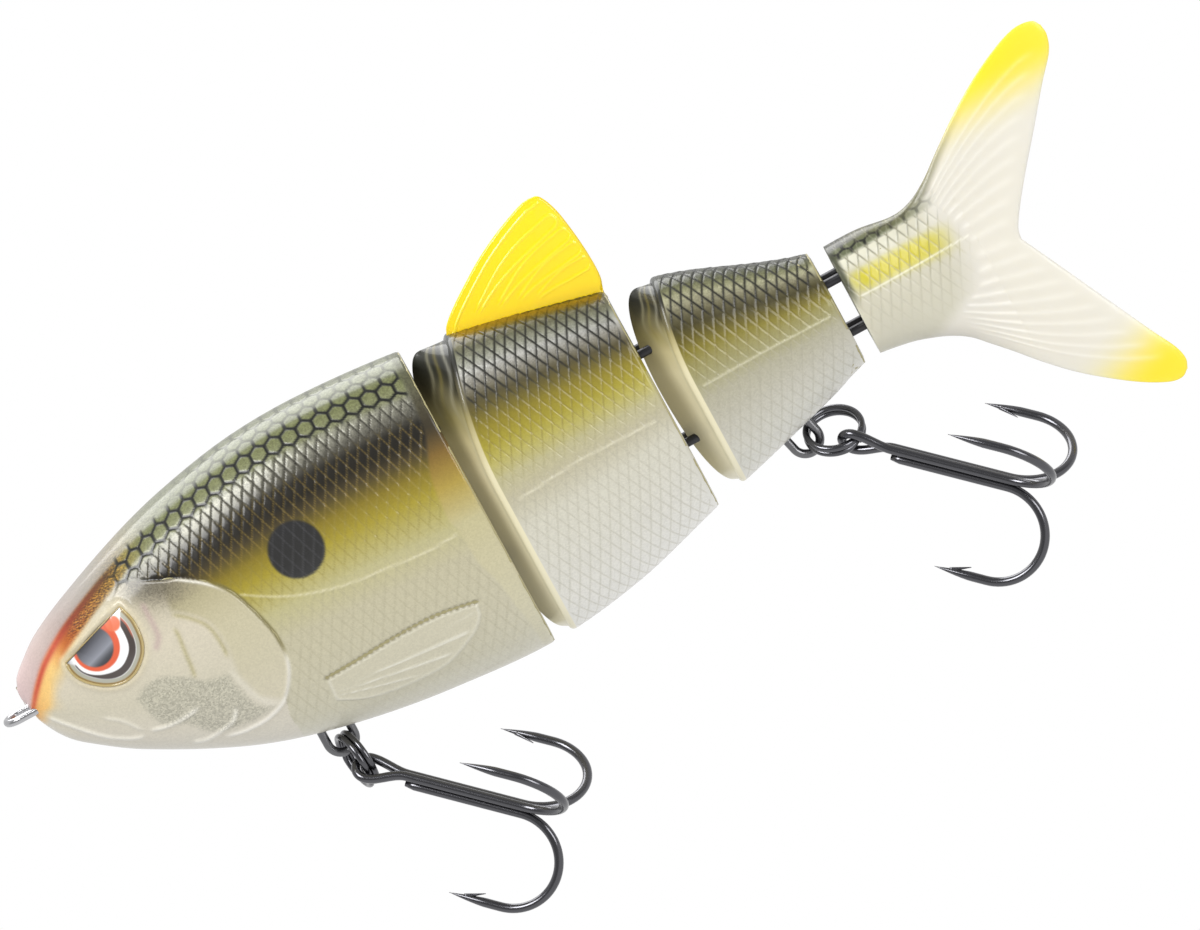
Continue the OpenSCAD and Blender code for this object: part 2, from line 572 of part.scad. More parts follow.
// One prong from the start of its shank, round its bend, to its point
bend_r = (hook_reach - shank_r) / 2;
bend_x = hook_len - hook_r - bend_r;
point_x = hook_len - hook_bite;
eye_x = hook_eye_r + hook_r;
function prong_path(a) = [for (q = concat([[eye_x + eye_neck, 0], [bend_x, 0]],
        [for (w = [15:15:180]) [bend_x + bend_r * sin(w), bend_r * (1 - cos(w))]],
        [[bend_x + (point_x - bend_x) * taper, 2 * bend_r], [point_x, 2 * bend_r]]))
    [q[0], 0, 0] + (shank_r + q[1]) * prong_dir(a)];
function prong_radii(a) = [for (i = [1:len(prong_path(a))])
    i == len(prong_path(a)) ? point_r : hook_r];
function backward(v) = [for (i = [len(v) - 1:-1:0]) v[i]];
module treble_double(at, roll) translate(at) rotate(hook_turn) {
    // the eye is half a ring, and each of its legs runs on into a shank
    side = [0, cos(roll), sin(roll)];
    eye = [for (w = [-90:15:90]) [eye_x - hook_eye_r * cos(w), 0, 0] + hook_eye_r * sin(w) * side];
    first = prong_up[roll > 90 ? 0 : 1];
    wire(concat(backward(prong_path(first)), eye, prong_path(-first)),
         concat(backward(prong_radii(first)), [for (e = eye) hook_r], prong_radii(-first)));
}
module treble_single(at) translate(at) rotate(hook_turn)
    wire(prong_path(prong_down), prong_radii(prong_down));
roll_1 = 43;                // how the front hook's eye is turned on its shank
roll_2 = 133;
module front_treble_double() color("dimgray") treble_double(hook_eye1, roll_1);
module front_treble_single() color("dimgray") treble_single(hook_eye1);
module rear_treble_double() color("dimgray") treble_double(hook_eye2, roll_2);
module rear_treble_single() color("dimgray") treble_single(hook_eye2);

head_shell_left();
head_shell_right();
eye_disc_left();
eye_disc_right();
eye_dome_left();
eye_dome_right();
line_tie();
front_hanger();
head_ballast();
hinge_pin_1();
front_shell_left();
front_shell_right();
dorsal_fin();
link_1_upper();
link_1_lower();
front_ballast();
hinge_pin_2();
rear_shell_left();
rear_shell_right();
link_2_upper();
link_2_lower();
rear_hanger();
hinge_pin_3();
tail_fin();
tail_core();
link_3_upper();
link_3_lower();
front_split_ring();
front_treble_double();
front_treble_single();
rear_split_ring();
rear_treble_double();
rear_treble_single();
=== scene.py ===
import bpy, math
import numpy as np
from mathutils import Matrix, Vector


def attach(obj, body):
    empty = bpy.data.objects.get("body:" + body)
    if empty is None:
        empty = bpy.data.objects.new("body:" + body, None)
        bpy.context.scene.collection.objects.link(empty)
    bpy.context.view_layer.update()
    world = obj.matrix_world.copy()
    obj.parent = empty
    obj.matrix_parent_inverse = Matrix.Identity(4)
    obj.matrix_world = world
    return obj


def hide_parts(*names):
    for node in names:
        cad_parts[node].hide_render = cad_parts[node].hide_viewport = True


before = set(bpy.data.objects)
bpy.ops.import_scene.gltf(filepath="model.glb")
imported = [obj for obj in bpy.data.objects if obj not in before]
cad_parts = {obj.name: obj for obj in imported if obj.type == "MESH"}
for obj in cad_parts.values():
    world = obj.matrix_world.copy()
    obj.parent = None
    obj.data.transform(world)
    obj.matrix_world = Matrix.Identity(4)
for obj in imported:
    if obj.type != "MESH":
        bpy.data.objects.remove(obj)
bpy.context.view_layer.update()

# ---- Studio: camera, world and lamps ----
# A long lens looks along +Y from a little above, rolled so that the fish climbs to the right.
# The backdrop is plain white; behind the fish it is bright, in front of it the room is dim.
roll, turn, lift, reach = math.radians(28.5), 0.0, math.radians(13.0), 2.4
aim = Vector((0.0787, 0.0, -0.0072))
away = Vector((math.sin(turn) * math.cos(lift), -math.cos(turn) * math.cos(lift), math.sin(lift)))
level = Vector((math.cos(turn), math.sin(turn), 0))
upward = away.cross(level)
right = math.cos(roll) * level - math.sin(roll) * upward
up = math.sin(roll) * level + math.cos(roll) * upward
camera = bpy.data.objects.new("camera", bpy.data.cameras.new("camera"))
camera.data.lens = 36.0 * reach / 0.150
camera.data.clip_start, camera.data.clip_end = 0.05, 20
turned = Matrix((right, up, away)).transposed()
camera.matrix_world = Matrix.Translation(aim + away * reach) @ turned.to_4x4()
bpy.context.scene.collection.objects.link(camera)
bpy.context.scene.camera = camera
bpy.context.scene.view_settings.view_transform = "Standard"

world = bpy.data.worlds.new("studio")
bpy.context.scene.world = world
world.use_nodes = True
wn, wl = world.node_tree.nodes, world.node_tree.links
wn.clear()


def glow_along(axis, stops):
    """Grey light along an axis of the backdrop, straight between stops of (place from 0 to 1, level)."""
    span = wn.new("ShaderNodeMapRange")
    span.inputs["From Min"].default_value, span.inputs["From Max"].default_value = -1, 1
    wl.new(parts.outputs[axis], span.inputs["Value"])
    ramp = wn.new("ShaderNodeValToRGB")
    while len(ramp.color_ramp.elements) < len(stops):
        ramp.color_ramp.elements.new(0.5)
    for e, (place, level) in zip(ramp.color_ramp.elements, stops):
        e.position, e.color = place, (level, level, level, 1)
    wl.new(span.outputs[0], ramp.inputs[0])
    return ramp.outputs[0]


way = wn.new("ShaderNodeTexCoord")
parts = wn.new("ShaderNodeSeparateXYZ")
wl.new(way.outputs["Generated"], parts.inputs[0])
both = wn.new("ShaderNodeMix")
both.data_type, both.blend_type = "RGBA", "LIGHTEN"
both.inputs["Factor"].default_value = 1
# dim in front and bright behind, and bright below, where the white table is
wl.new(glow_along("Y", [(0.0, 0.42), (0.38, 0.5), (0.56, 1.0), (1.0, 1.0)]), both.inputs["A"])
wl.new(glow_along("Z", [(0.0, 1.15), (0.42, 1.1), (0.52, 0.0), (1.0, 0.0)]), both.inputs["B"])
lit = wn.new("ShaderNodeBackground")
wl.new(both.outputs["Result"], lit.inputs["Color"])
lit.inputs["Strength"].default_value = 0.75
plain = wn.new("ShaderNodeBackground")
plain.inputs["Color"].default_value = (1, 1, 1, 1)
plain.inputs["Strength"].default_value = 1.0
rays = wn.new("ShaderNodeLightPath")
pick = wn.new("ShaderNodeMixShader")
wl.new(rays.outputs["Is Camera Ray"], pick.inputs[0])
wl.new(lit.outputs[0], pick.inputs[1])
wl.new(plain.outputs[0], pick.inputs[2])
out = wn.new("ShaderNodeOutputWorld")
wl.new(pick.outputs[0], out.inputs["Surface"])


def lamp(name, place, target, size, watts):
    """A square softbox at place that faces target."""
    light = bpy.data.lights.new(name, "AREA")
    light.shape, light.size, light.energy = "SQUARE", size, watts
    o = bpy.data.objects.new(name, light)
    o.location = place
    o.rotation_mode = "QUATERNION"
    o.rotation_quaternion = (Vector(target) - Vector(place)).to_track_quat("-Z", "Y")
    bpy.context.scene.collection.objects.link(o)


lamp("key", (-0.25, -0.45, 0.55), (0.07, 0, 0), 0.35, 4.4)
lamp("sky", (0.05, 0.3, 0.5), (0.07, 0, 0), 0.5, 3.4)
lamp("side", (0.45, -0.5, 0.1), (0.08, 0, 0), 0.3, 1.6)

# ---- Body skins ----
# The painted outer skin of the head and of the two body sections: one closed shell to each
# side, with moulded scales, gill cover, pectoral fin and lateral line in the surface.
MM = 0.001
LENGTH, DEPTH, THICK, NOSE = 152.0, 42.2, 21.2, 1.3
HEAD_END, FRONT_START, FRONT_END, REAR_START, REAR_END, TAIL_START = 62.0, 64.4, 88.1, 91.9, 112.7, 114.9
back_line = [(0.0016, 0.081), (0.0046, 0.104), (0.0171, 0.145), (0.034, 0.19), (0.068, 0.249),
             (0.134, 0.341), (0.184, 0.393), (0.25, 0.436), (0.316, 0.445), (0.408, 0.419),
             (0.493, 0.367), (0.579, 0.289), (0.641, 0.227), (0.707, 0.13), (0.743, 0.09),
             (0.789, 0.085), (0.87, 0.1)]
belly_line = [(0.0016, 0.024), (0.0046, -0.036), (0.0171, -0.118), (0.034, -0.175),
              (0.068, -0.261), (0.134, -0.386), (0.184, -0.455), (0.25, -0.512),
              (0.316, -0.547), (0.408, -0.569), (0.493, -0.531), (0.579, -0.445),
              (0.641, -0.386), (0.707, -0.318), (0.743, -0.277), (0.789, -0.291), (0.87, -0.4)]
side_line = [(0.0016, 0.047), (0.0046, 0.085), (0.0171, 0.17), (0.034, 0.24), (0.068, 0.34),
             (0.134, 0.448), (0.25, 0.5), (0.316, 0.495), (0.408, 0.467), (0.493, 0.425),
             (0.579, 0.373), (0.641, 0.325), (0.707, 0.264), (0.743, 0.226), (0.789, 0.184),
             (0.87, 0.09)]


def curve(points, s):
    """The smooth curve through points at each s. Its slope at a point is that from neighbour to neighbour."""
    p = np.array(points)
    s = np.asarray(s, float)
    k = np.clip(np.searchsorted(p[:, 0], s, "right") - 1, 0, len(p) - 2)
    a = np.clip(np.arange(len(p)) - 1, 0, None)
    b = np.clip(np.arange(len(p)) + 1, None, len(p) - 1)
    slope = (p[b, 1] - p[a, 1]) / (p[b, 0] - p[a, 0])
    h = p[k + 1, 0] - p[k, 0]
    t = (s - p[k, 0]) / h
    return ((2 * t**3 - 3 * t**2 + 1) * p[k, 1] + (t**3 - 2 * t**2 + t) * h * slope[k]
            + (3 * t**2 - 2 * t**3) * p[k + 1, 1] + (t**3 - t**2) * h * slope[k + 1])


def outline(d):
    """Heights of the back and the belly, and half the thickness, at distance d behind the nose."""
    d = np.asarray(d, float)
    start = back_line[0][0] * LENGTH
    c = np.clip(d, start, None)
    top, low, wide = (DEPTH * curve(back_line, c / LENGTH), DEPTH * curve(belly_line, c / LENGTH),
                      THICK * curve(side_line, c / LENGTH))
    shut = np.sqrt(np.clip(1 - np.clip((start - d) / start, 0, 1) ** 2, 0, 1))
    middle = (top + low) / 2
    return middle + (top - middle) * shut, middle + (low - middle) * shut, wide * shut


def skin(d, t, inset=0.0):
    """Points of the left skin, taken in by inset: y = -wide cos(t)^0.85, z = middle + height sin(t).

    d is the distance behind the nose, and t runs from -90 at the belly to 90 at the back.
    """
    top, low, wide = outline(d)
    top, low, wide = top - inset, low + inset, np.clip(wide - inset, 0, None)
    middle = (top + low) / 2 + 0.03 * (top - low)
    s, c = np.sin(np.radians(t)), np.cos(np.radians(t))
    z = middle + np.where(s > 0, top - middle, middle - low) * s
    return np.stack([NOSE + d + 0 * z, -wide * np.clip(c, 0, 1) ** 0.85, z], -1)


def grid_normals(p):
    """Unit normals of a grid, outward where rows run back and columns run up the left side."""
    along, across = np.gradient(p, axis=0), np.gradient(p, axis=1)
    n = np.cross(across, along)
    size = np.linalg.norm(n, axis=2, keepdims=True)
    return -n / np.where(size < 1e-12, 1, size)


def seamed(n):
    """Unit normals that lie in the middle plane along the seams at the belly and the back."""
    n[:, [0, -1], 1] = 0
    return n / (np.linalg.norm(n, axis=2, keepdims=True) + 1e-12)


def linear(colour):
    """Screen colour from 0 to 255 as linear light."""
    c = np.asarray(colour, float) / 255
    return np.where(c <= 0.04045, c / 12.92, ((c + 0.055) / 1.055) ** 2.4)


def tint(stops, q):
    """Screen colour at q, straight between stops of (place, red, green, blue)."""
    place, *colours = np.array(stops, float).T
    return np.stack([np.interp(q, place, c) for c in colours], -1)


def lay(base, colour, amount):
    """Colour laid over base by amount from 0 to 1."""
    a = np.clip(amount, 0, 1)[..., None]
    return base * (1 - a) + np.asarray(colour, float) * a


def ease(low, high, x):
    """0 below low, 1 above high, smooth between."""
    t = np.clip((x - low) / (high - low), 0, 1)
    return t * t * (3 - 2 * t)


def bump(r, wide):
    """A soft ridge, exp(-(r / wide)^2)."""
    return np.exp(-((r / wide) ** 2))


def near(line, x, z):
    """Distance from each point to a line of points, and how far along the line its nearest place is."""
    line = np.array(line, float)
    best, along, run = np.full(x.shape, 1e9), np.zeros(x.shape), 0.0
    for a, b in zip(line[:-1], line[1:]):
        v = b - a
        size = np.hypot(*v)
        t = np.clip(((x - a[0]) * v[0] + (z - a[1]) * v[1]) / size**2, 0, 1)
        r = np.hypot(x - a[0] - t * v[0], z - a[1] - t * v[1])
        closer = r < best
        best, along = np.where(closer, r, best), np.where(closer, run + t * size, along)
        run += size
    return best, along


def within(shape, x, z):
    """True where a point lies inside a closed outline, by counting the edges to its right."""
    inside = np.zeros(x.shape, bool)
    for (xa, za), (xb, zb) in zip(shape, shape[1:] + shape[:1]):
        crosses = (za > z) != (zb > z)
        where = (xb - xa) * (z - za) / ((zb - za) if zb != za else 1e-9) + xa
        inside ^= crosses & (x < where)
    return inside


def rounded(points, n=8):
    """A line through points with its corners eased: each stretch is split by n on a smooth curve."""
    p = np.array(points, float)
    q = np.vstack([2 * p[0] - p[1], p, 2 * p[-1] - p[-2]])
    made = []
    for a, b, c, d in zip(q[:-3], q[1:-2], q[2:-1], q[3:]):
        for t in np.linspace(0, 1, n, endpoint=False):
            made.append(0.5 * (2 * b + (c - a) * t + (2 * a - 5 * b + 4 * c - d) * t**2
                               + (3 * b - a - 3 * c + d) * t**3))
    return [tuple(x) for x in made] + [tuple(p[-1])]


def girth(p):
    """Length round the skin of each point of a grid, from the row's widest place, up positive."""
    step = np.linalg.norm(np.diff(p, axis=1), axis=2)
    run = np.concatenate([np.zeros((p.shape[0], 1)), np.cumsum(step, axis=1)], axis=1)
    widest = p.shape[1] // 2
    return run - run[:, widest:widest + 1]


def lattice(d, g, across=1.45, tall=3.2, slant=0.0):
    """The two families of lines that cut the skin into scales: their running numbers at each point."""
    x = (d + slant * g) / across
    return x + g / tall, x - g / tall


def lines(u):
    """Distance of a running number from the nearest whole one."""
    return np.abs(u - np.round(u))


def grooves(u, v, wide):
    """1 on the lines between the scales, 0 away from them."""
    return bump(np.minimum(lines(u), lines(v)), wide)


def dashes(line, x, z):
    """The lateral line: where it lies, and how high its ridge of short dashes stands there."""
    r, s = near(line, x, z)
    on_line = bump(r, 0.16)
    return on_line, on_line * (0.55 + 0.45 * np.sign(np.sin(s * 2 * np.pi / 1.1)))


def scales(u, v, high=0.09, groove=0.1):
    """Height of overlapping scales: each one rises towards its rear corner and drops at the lines."""
    fu, fv = u - np.floor(u), v - np.floor(v)
    return high * (0.5 * (fu + fv)) ** 1.3 - high * 0.6 * grooves(u, v, groove)


def netting(d, from_top, pitch=2.2, row=1.9):
    """1 on the black outlines of the six-sided scales of the back, 0 inside them."""
    u, v = d / pitch, (from_top - 0.9) / row
    best = np.full(d.shape, 9.0)
    second = np.full(d.shape, 9.0)
    for k in range(-1, 7):
        shift = 0.5 * (k % 2)
        for m in (np.floor(u - shift), np.floor(u - shift) + 1):
            r = np.hypot((u - shift - m) * pitch, (v - k) * row)
            second = np.minimum(second, np.maximum(best, r))
            best = np.minimum(best, r)
    return ease(0.58, 0.2, second - best)


def build(name, p, faces, paint, values=(), uv=None, normals=None):
    """A mesh object from points in millimetres, with screen colours and named values at the points."""
    p = np.ascontiguousarray(np.asarray(p, float).reshape(-1, 3) * MM, dtype=np.float32)
    faces = np.asarray(faces, np.int32)
    mesh = bpy.data.meshes.new(name)
    mesh.vertices.add(len(p))
    mesh.vertices.foreach_set("co", p.ravel())
    mesh.loops.add(faces.size)
    mesh.loops.foreach_set("vertex_index", faces.ravel())
    mesh.polygons.add(len(faces))
    mesh.polygons.foreach_set("loop_start", np.arange(0, faces.size, faces.shape[1], dtype=np.int32))
    mesh.polygons.foreach_set("use_smooth", np.full(len(faces), True))
    mesh.update(calc_edges=True)
    rgba = np.ones((len(p), 4), np.float32)
    rgba[:, :3] = linear(np.clip(np.asarray(paint).reshape(-1, 3), 0, 255))
    mesh.color_attributes.new("paint", "FLOAT_COLOR", "POINT").data.foreach_set("color", rgba.ravel())
    for key, at_points in values:
        layer = mesh.attributes.new(key, "FLOAT", "POINT")
        layer.data.foreach_set("value", np.asarray(at_points, np.float32).ravel())
    if uv is not None:
        pair = np.stack([np.ravel(uv[0]), np.ravel(uv[1])], -1).astype(np.float32)
        mesh.uv_layers.new(name="scales").data.foreach_set("uv", pair[faces.ravel()].ravel())
    mesh.validate()
    if normals is not None:
        mesh.normals_split_custom_set_from_vertices(np.asarray(normals, float).reshape(-1, 3))
    o = bpy.data.objects.new(name, mesh)
    bpy.context.scene.collection.objects.link(o)
    return o


def belongs(o, material, body, slot_name, *stands_for):
    """Gives a piece its material, hangs it on the body it rides on, and hides the CAD parts it stands for.
    slot_name, what it is made of, is not used.
    """
    o.data.materials.append(material)
    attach(o, body)
    if stands_for:
        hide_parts(*stands_for)


def grid_faces(rows, columns, flip=False, wrap=False):
    """Quads between neighbouring rows and columns of a grid; wrap joins the last column to the first."""
    i, j = np.meshgrid(np.arange(rows - 1), np.arange(columns if wrap else columns - 1), indexing="ij")
    k = (j + 1) % columns
    quad = np.stack([i * columns + j, i * columns + k, (i + 1) * columns + k, (i + 1) * columns + j], -1)
    quad = quad.reshape(-1, 4)
    return quad[:, ::-1] if flip else quad


def body_paint():
    """Painted plastic under a clear coat: the mesh gives colour, metal, glitter and a painted glow, an
    emission that lightens shaded faces.
    """
    m = bpy.data.materials.new("body paint")
    m.use_nodes = True
    n, l = m.node_tree.nodes, m.node_tree.links
    shader = n["Principled BSDF"]
    paint = n.new("ShaderNodeVertexColor")
    paint.layer_name = "paint"
    value = {}
    for key in ("metal", "glitter", "painted_glow"):
        node = n.new("ShaderNodeAttribute")
        node.attribute_name = key
        value[key] = node.outputs["Fac"]
    place, flake = n.new("ShaderNodeTexCoord"), n.new("ShaderNodeTexVoronoi")
    flake.inputs["Scale"].default_value = 5200
    l.new(place.outputs["Object"], flake.inputs["Vector"])
    split, sparkle = n.new("ShaderNodeSeparateColor"), n.new("ShaderNodeMapRange")
    sparkle.inputs["To Min"].default_value, sparkle.inputs["To Max"].default_value = 0.72, 1.3
    l.new(flake.outputs["Color"], split.inputs[0])
    l.new(split.outputs[0], sparkle.inputs["Value"])
    mix = n.new("ShaderNodeMix")
    mix.data_type, mix.blend_type = "RGBA", "MULTIPLY"
    l.new(value["glitter"], mix.inputs["Factor"])
    l.new(paint.outputs["Color"], mix.inputs["A"])
    l.new(sparkle.outputs[0], mix.inputs["B"])
    l.new(mix.outputs["Result"], shader.inputs["Base Color"])
    l.new(value["metal"], shader.inputs["Metallic"])
    l.new(paint.outputs["Color"], shader.inputs["Emission Color"])
    l.new(value["painted_glow"], shader.inputs["Emission Strength"])
    shader.inputs["Roughness"].default_value = 0.38
    shader.inputs["Specular IOR Level"].default_value = 0.25
    shader.inputs["Coat Weight"].default_value = 0.5
    shader.inputs["Coat Roughness"].default_value = 0.14
    shader.inputs["Coat IOR"].default_value = 1.5
    return m


paint_material = body_paint()
flank = [(0.0, 216, 213, 198), (0.05, 208, 205, 188), (0.1, 199, 195, 174), (0.2, 191, 186, 163),
         (0.4, 184, 178, 150), (0.5, 178, 172, 126), (0.56, 170, 160, 92), (0.62, 158, 143, 48),
         (0.68, 128, 112, 36), (0.74, 66, 57, 34), (0.78, 26, 22, 13), (0.82, 25, 22, 15),
         (0.855, 88, 86, 76), (0.89, 128, 127, 114), (0.92, 112, 114, 90), (0.95, 88, 92, 60),
         (1.0, 92, 96, 66)]


def half_piece(side, label, p, paint, metal, glitter, painted_glow, uv, normals, body):
    """One side's skin as an object; the right side is the left mirrored."""
    rows, columns = p.shape[:2]
    q, n = p.copy(), normals.copy()
    if side > 0:
        q[..., 1], n[..., 1] = -q[..., 1], -n[..., 1]
    o = build(f"{label}_{'left' if side < 0 else 'right'}", q, grid_faces(rows, columns, flip=side < 0),
              paint, [("metal", metal), ("glitter", glitter), ("painted_glow", painted_glow)], uv, n)
    belongs(o, paint_material, body, "painted_shell")


# ---- Head skin ----
# Moulded plastic, 62 mm long: smooth face and gill cover, scaled behind, smooth band at the rim.
RIM_ROUND = 0.45
t = np.linspace(-90, 90, 246)
runs = np.concatenate([0.9 * np.linspace(0.02, 1, 14) ** 1.6, np.linspace(1.1, HEAD_END - RIM_ROUND, 372)])
rim = np.linspace(0, np.pi / 2, 6)[1:]
head_d = np.concatenate([runs, HEAD_END - RIM_ROUND + RIM_ROUND * np.sin(rim)])
inset = np.concatenate([0 * runs, RIM_ROUND * (1 - np.cos(rim))])
D = head_d[:, None] + 0 * t[None, :]
P = skin(D, t[None, :], inset[:, None])
lip = skin(D[-1:] * 0 + HEAD_END, t[None, :], RIM_ROUND)
lips = []
for k in (0.25, 0.9, 1.6):
    q = skin(D[-1:] * 0 + HEAD_END, t[None, :], RIM_ROUND + k)
    q[..., 0] = lip[..., 0] - 0.23 * (np.abs(lip[..., 1]) - np.abs(q[..., 1])) + 0.06
    lips.append(q)
N = seamed(grid_normals(P))
x, z = P[..., 0] - NOSE, P[..., 2]
top, low, _ = outline(D)
q = (z - low) / (top - low + 1e-9)
g = girth(P)

gill = rounded([(13.5, 12.4), (17.5, 10.6), (22.4, 8.6), (24.9, 7.6), (27.9, 5.4), (29.8, 2.8), (31.2, -1.4),
                (31.8, -4.8), (31.4, -8.5), (29.2, -12.0), (26.3, -13.6), (23.0, -13.9), (20.4, -13.5)])
edge_r, _ = near(gill, x, z)
face = within([(-5, 30), (13.5, 30)] + gill[:73] + [(28.6, -14.5), (28.9, -30), (-5, -30)], x, z)
inward = np.where(face, edge_r, -edge_r)
pec = rounded([(34.6, -12.5), (39.9, -12.2), (44.8, -11.9), (50.5, -12.0), (55.9, -13.0)]) + rounded(
    [(55.6, -14.8), (54.1, -16.4), (50.6, -18.2), (47.6, -18.9), (41.9, -18.6), (37.6, -17.6), (34.4, -15.9)])
pec_in = within(pec, x, z)
pec_r, _ = near(pec + pec[:1], x, z)
pec_top_r, pec_top_s = near(pec[:33], x, z)
band = rounded([(60.8, 14.0), (60.2, 9.2), (58.4, 4.6), (57.9, 2.3), (57.6, -1.8), (58.1, -3.9), (58.3, -8.5),
                (59.3, -11.9), (59.8, -15.8), (60.3, -19.1), (60.6, -24.0)])
band_x = np.interp(z, [b[1] for b in band][::-1], [b[0] for b in band][::-1])
from_top = g[:, -1:] - g
scaled = ease(0.0, 0.7, -inward) * ease(0.0, 0.5, np.where(pec_in, -1, pec_r)) * ease(0.0, 0.35, band_x - x)
scaled *= (0.35 + 0.65 * ease(0.04, 0.16, q)) * ease(7.4, 8.6, from_top)
u, v = lattice(x, g, slant=-0.1)
spot = ease(3.75, 3.35, np.hypot(x - 39.2, (z - 4.2) * 0.98))
scaled_high = (0.45 + 0.3 * ease(0.3, 0.6, q) + 0.25 * ease(0.8, 0.86, q)) * (1 - 0.4 * spot)
h = 0.06 + scaled * scales(u, v) * scaled_high
# the gill cover's raised rear edge and the groove behind it
rear_part = ease(19, 24, x) * ease(-13.8, -12.0, z)
raised = 0.2 * np.exp(-edge_r / 2.4) * ease(0, 0.3, edge_r)
h += np.where(face, raised, -0.12 * bump(edge_r, 0.3)) * rear_part
low_ridge = bump(edge_r, 0.26) * ease(-6.0, -8.5, z) * ease(19.8, 21.5, x)
top_ridge = bump(inward - 0.2, 0.2) * ease(23.6, 25.0, x) * ease(29.5, 27.5, x) * ease(2, 5, z)
h += 0.2 * low_ridge + 0.14 * top_ridge
# ridges and creases of the cheek and the jaw: raised ridges with a painted highlight, and creases in a darker
# olive
crease = rounded([(21.4, 4.5), (23.5, 2.8), (25.0, 0.8), (25.4, -2.2), (25.2, -4.2)])
ridge_highlight_and_crease = np.zeros(P.shape[:2])
for line, high, wide_of in (
        ([(19.4, -7.9), (17.5, -8.4), (14.7, -8.6), (12.0, -8.1)], 0.19, 0.28),
        ([(1.6, -0.6), (2.9, -2.2), (6.6, -6.1), (8.9, -7.7), (10.8, -8.5), (11.8, -8.2)], 0.17, 0.28),
        ([(11.8, -8.1), (11.3, -7.4), (9.9, -5.4), (7.6, -3.7)], 0.1, 0.28),
        ([(23.4, -10.0), (22.1, -11.7), (20.4, -12.3), (18.1, -12.7), (15.9, -12.2)], 0.19, 0.28),
        ([(28.3, -12.7), (26.9, -11.6), (25.7, -9.3), (24.6, -5.0)], 0.05, 0.4),
        ([(21.1, 3.1), (21.2, 1.6), (20.9, -0.9), (20.7, -3.0), (20.4, -4.7)], -0.07, 0.3),
        (crease, -0.07, 0.3)):
    r, s = near(rounded(line), x, z)
    amount = bump(r, wide_of) * ease(0, 1.2, s) * ease(0, 1.2, s.max() - s)
    h += high * amount
    ridge_highlight_and_crease += 5 * high * amount
# the pectoral fin: a raised plate with rays that fan back from its root
fan = np.degrees(np.arctan2(z + 13.9, x - 30.0))
ray = bump(lines(fan / 5.2), 0.1) * ease(0.5, 1.4, pec_r) * ease(-14.5, -15.2, z - 0.05 * (x - 38))
fin_edge = bump(pec_r - 0.3, 0.2)
h += np.where(pec_in, 0.1 * ease(0, 0.4, pec_r) + 0.07 * ray + 0.07 * fin_edge, 0)
teeth = 0.5 + 0.5 * np.sin(pec_top_s * 2 * np.pi / 0.8)
notch = bump(pec_top_r, 0.22) * ease(-0.2, 0.3, pec_top_s)
h -= notch * (0.16 + 0.16 * teeth)
# the lateral line: a low ridge cut into dashes
lateral = rounded([(30.4, 2.5), (34.0, 0.3), (37.6, -1.3), (42.6, -2.7), (48.9, -3.5), (53.7, -4.0),
                   (57.6, -3.9)])
lat, dash = dashes(lateral, x, z)
lat = lat * ~face
h += 0.12 * dash * ~face

paint = tint(flank, q)
# the face: cream, with the gill cover more olive, and a patch of grey glitter low on the cheek
cream = tint([(0.0, 216, 212, 200), (0.15, 208, 202, 186), (0.35, 196, 190, 170), (0.6, 200, 192, 172),
              (0.8, 186, 178, 156), (1.0, 180, 172, 150)], q)
front = np.where(face, 1.0, 0) * (1 - ease(0.76, 0.86, q) * ease(16.5, 21.0, x))
paint = lay(paint, cream, front)
cover_line = [(21.8, 7.8), (21.6, 6.4)] + crease + [(25.0, -6.6), (26.0, -10.6), (28.8, -12.6)]
cover = within(cover_line + gill[24:73][::-1], x, z) & face
cover_r, _ = near(cover_line, x, z)
olive = np.where(cover, ease(0, 1.0, cover_r), 0)
tone = tint([(-10, 194, 187, 162), (0, 184, 177, 144), (5, 166, 158, 120), (9, 118, 110, 86)], z)
paint = lay(paint, tone, olive * 0.72)
glitter_shape = rounded([(12.2, -3.2), (14.7, -1.8), (17.1, -1.8), (20.2, -3.4), (21.6, -4.8), (24.5, -5.4),
                         (25.0, -7.2), (26.0, -11.0), (28.0, -12.4), (26.0, -13.4), (22.1, -13.3),
                         (18.8, -12.4), (16.3, -9.7), (13.5, -8.2), (12.2, -3.2)], 3)
patch_r, _ = near(glitter_shape, x, z)
patch = np.where(within(glitter_shape, x, z), ease(0, 1.1, patch_r), 0) * face
paint = lay(paint, (160, 158, 142), patch * 0.55)
haze = np.exp(-(((x - 21.5) / 3.4) ** 2 + ((z - 8.0 + 0.25 * (x - 21.5)) / 2.3) ** 2)) * face
paint = lay(paint, (104, 98, 82), haze * 0.9)
mauve_r, mauve_s = near(rounded([(19.1, 7.5), (19.1, 5.6), (19.1, 4.1), (18.9, 2.5), (18.1, 1.5)]), x, z)
paint = lay(paint, (172, 146, 146), bump(mauve_r, 0.4) * ease(0, 1, mauve_s) * 0.5)
# painted highlight along the ridges; darker olive in the creases
paint = lay(paint, (232, 229, 218), np.clip(ridge_highlight_and_crease, 0, 1) * 0.75)
paint = lay(paint, (150, 142, 92), np.clip(-ridge_highlight_and_crease, 0, 1) * 1.3)
# painted highlight on the gill cover's raised edge, high and low
paint = lay(paint, (236, 233, 224), np.clip(low_ridge + top_ridge, 0, 1) * 0.8)
# painted shade: a dark olive line in the groove behind the middle of the gill cover's edge
gill_groove_shade = ease(0.4, 0.05, np.abs(inward + 0.1)) * rear_part * ease(-7.5, -5.0, z) * ease(6.0, 4.6, z)
paint = lay(paint, (112, 104, 62), gill_groove_shade * 0.8)
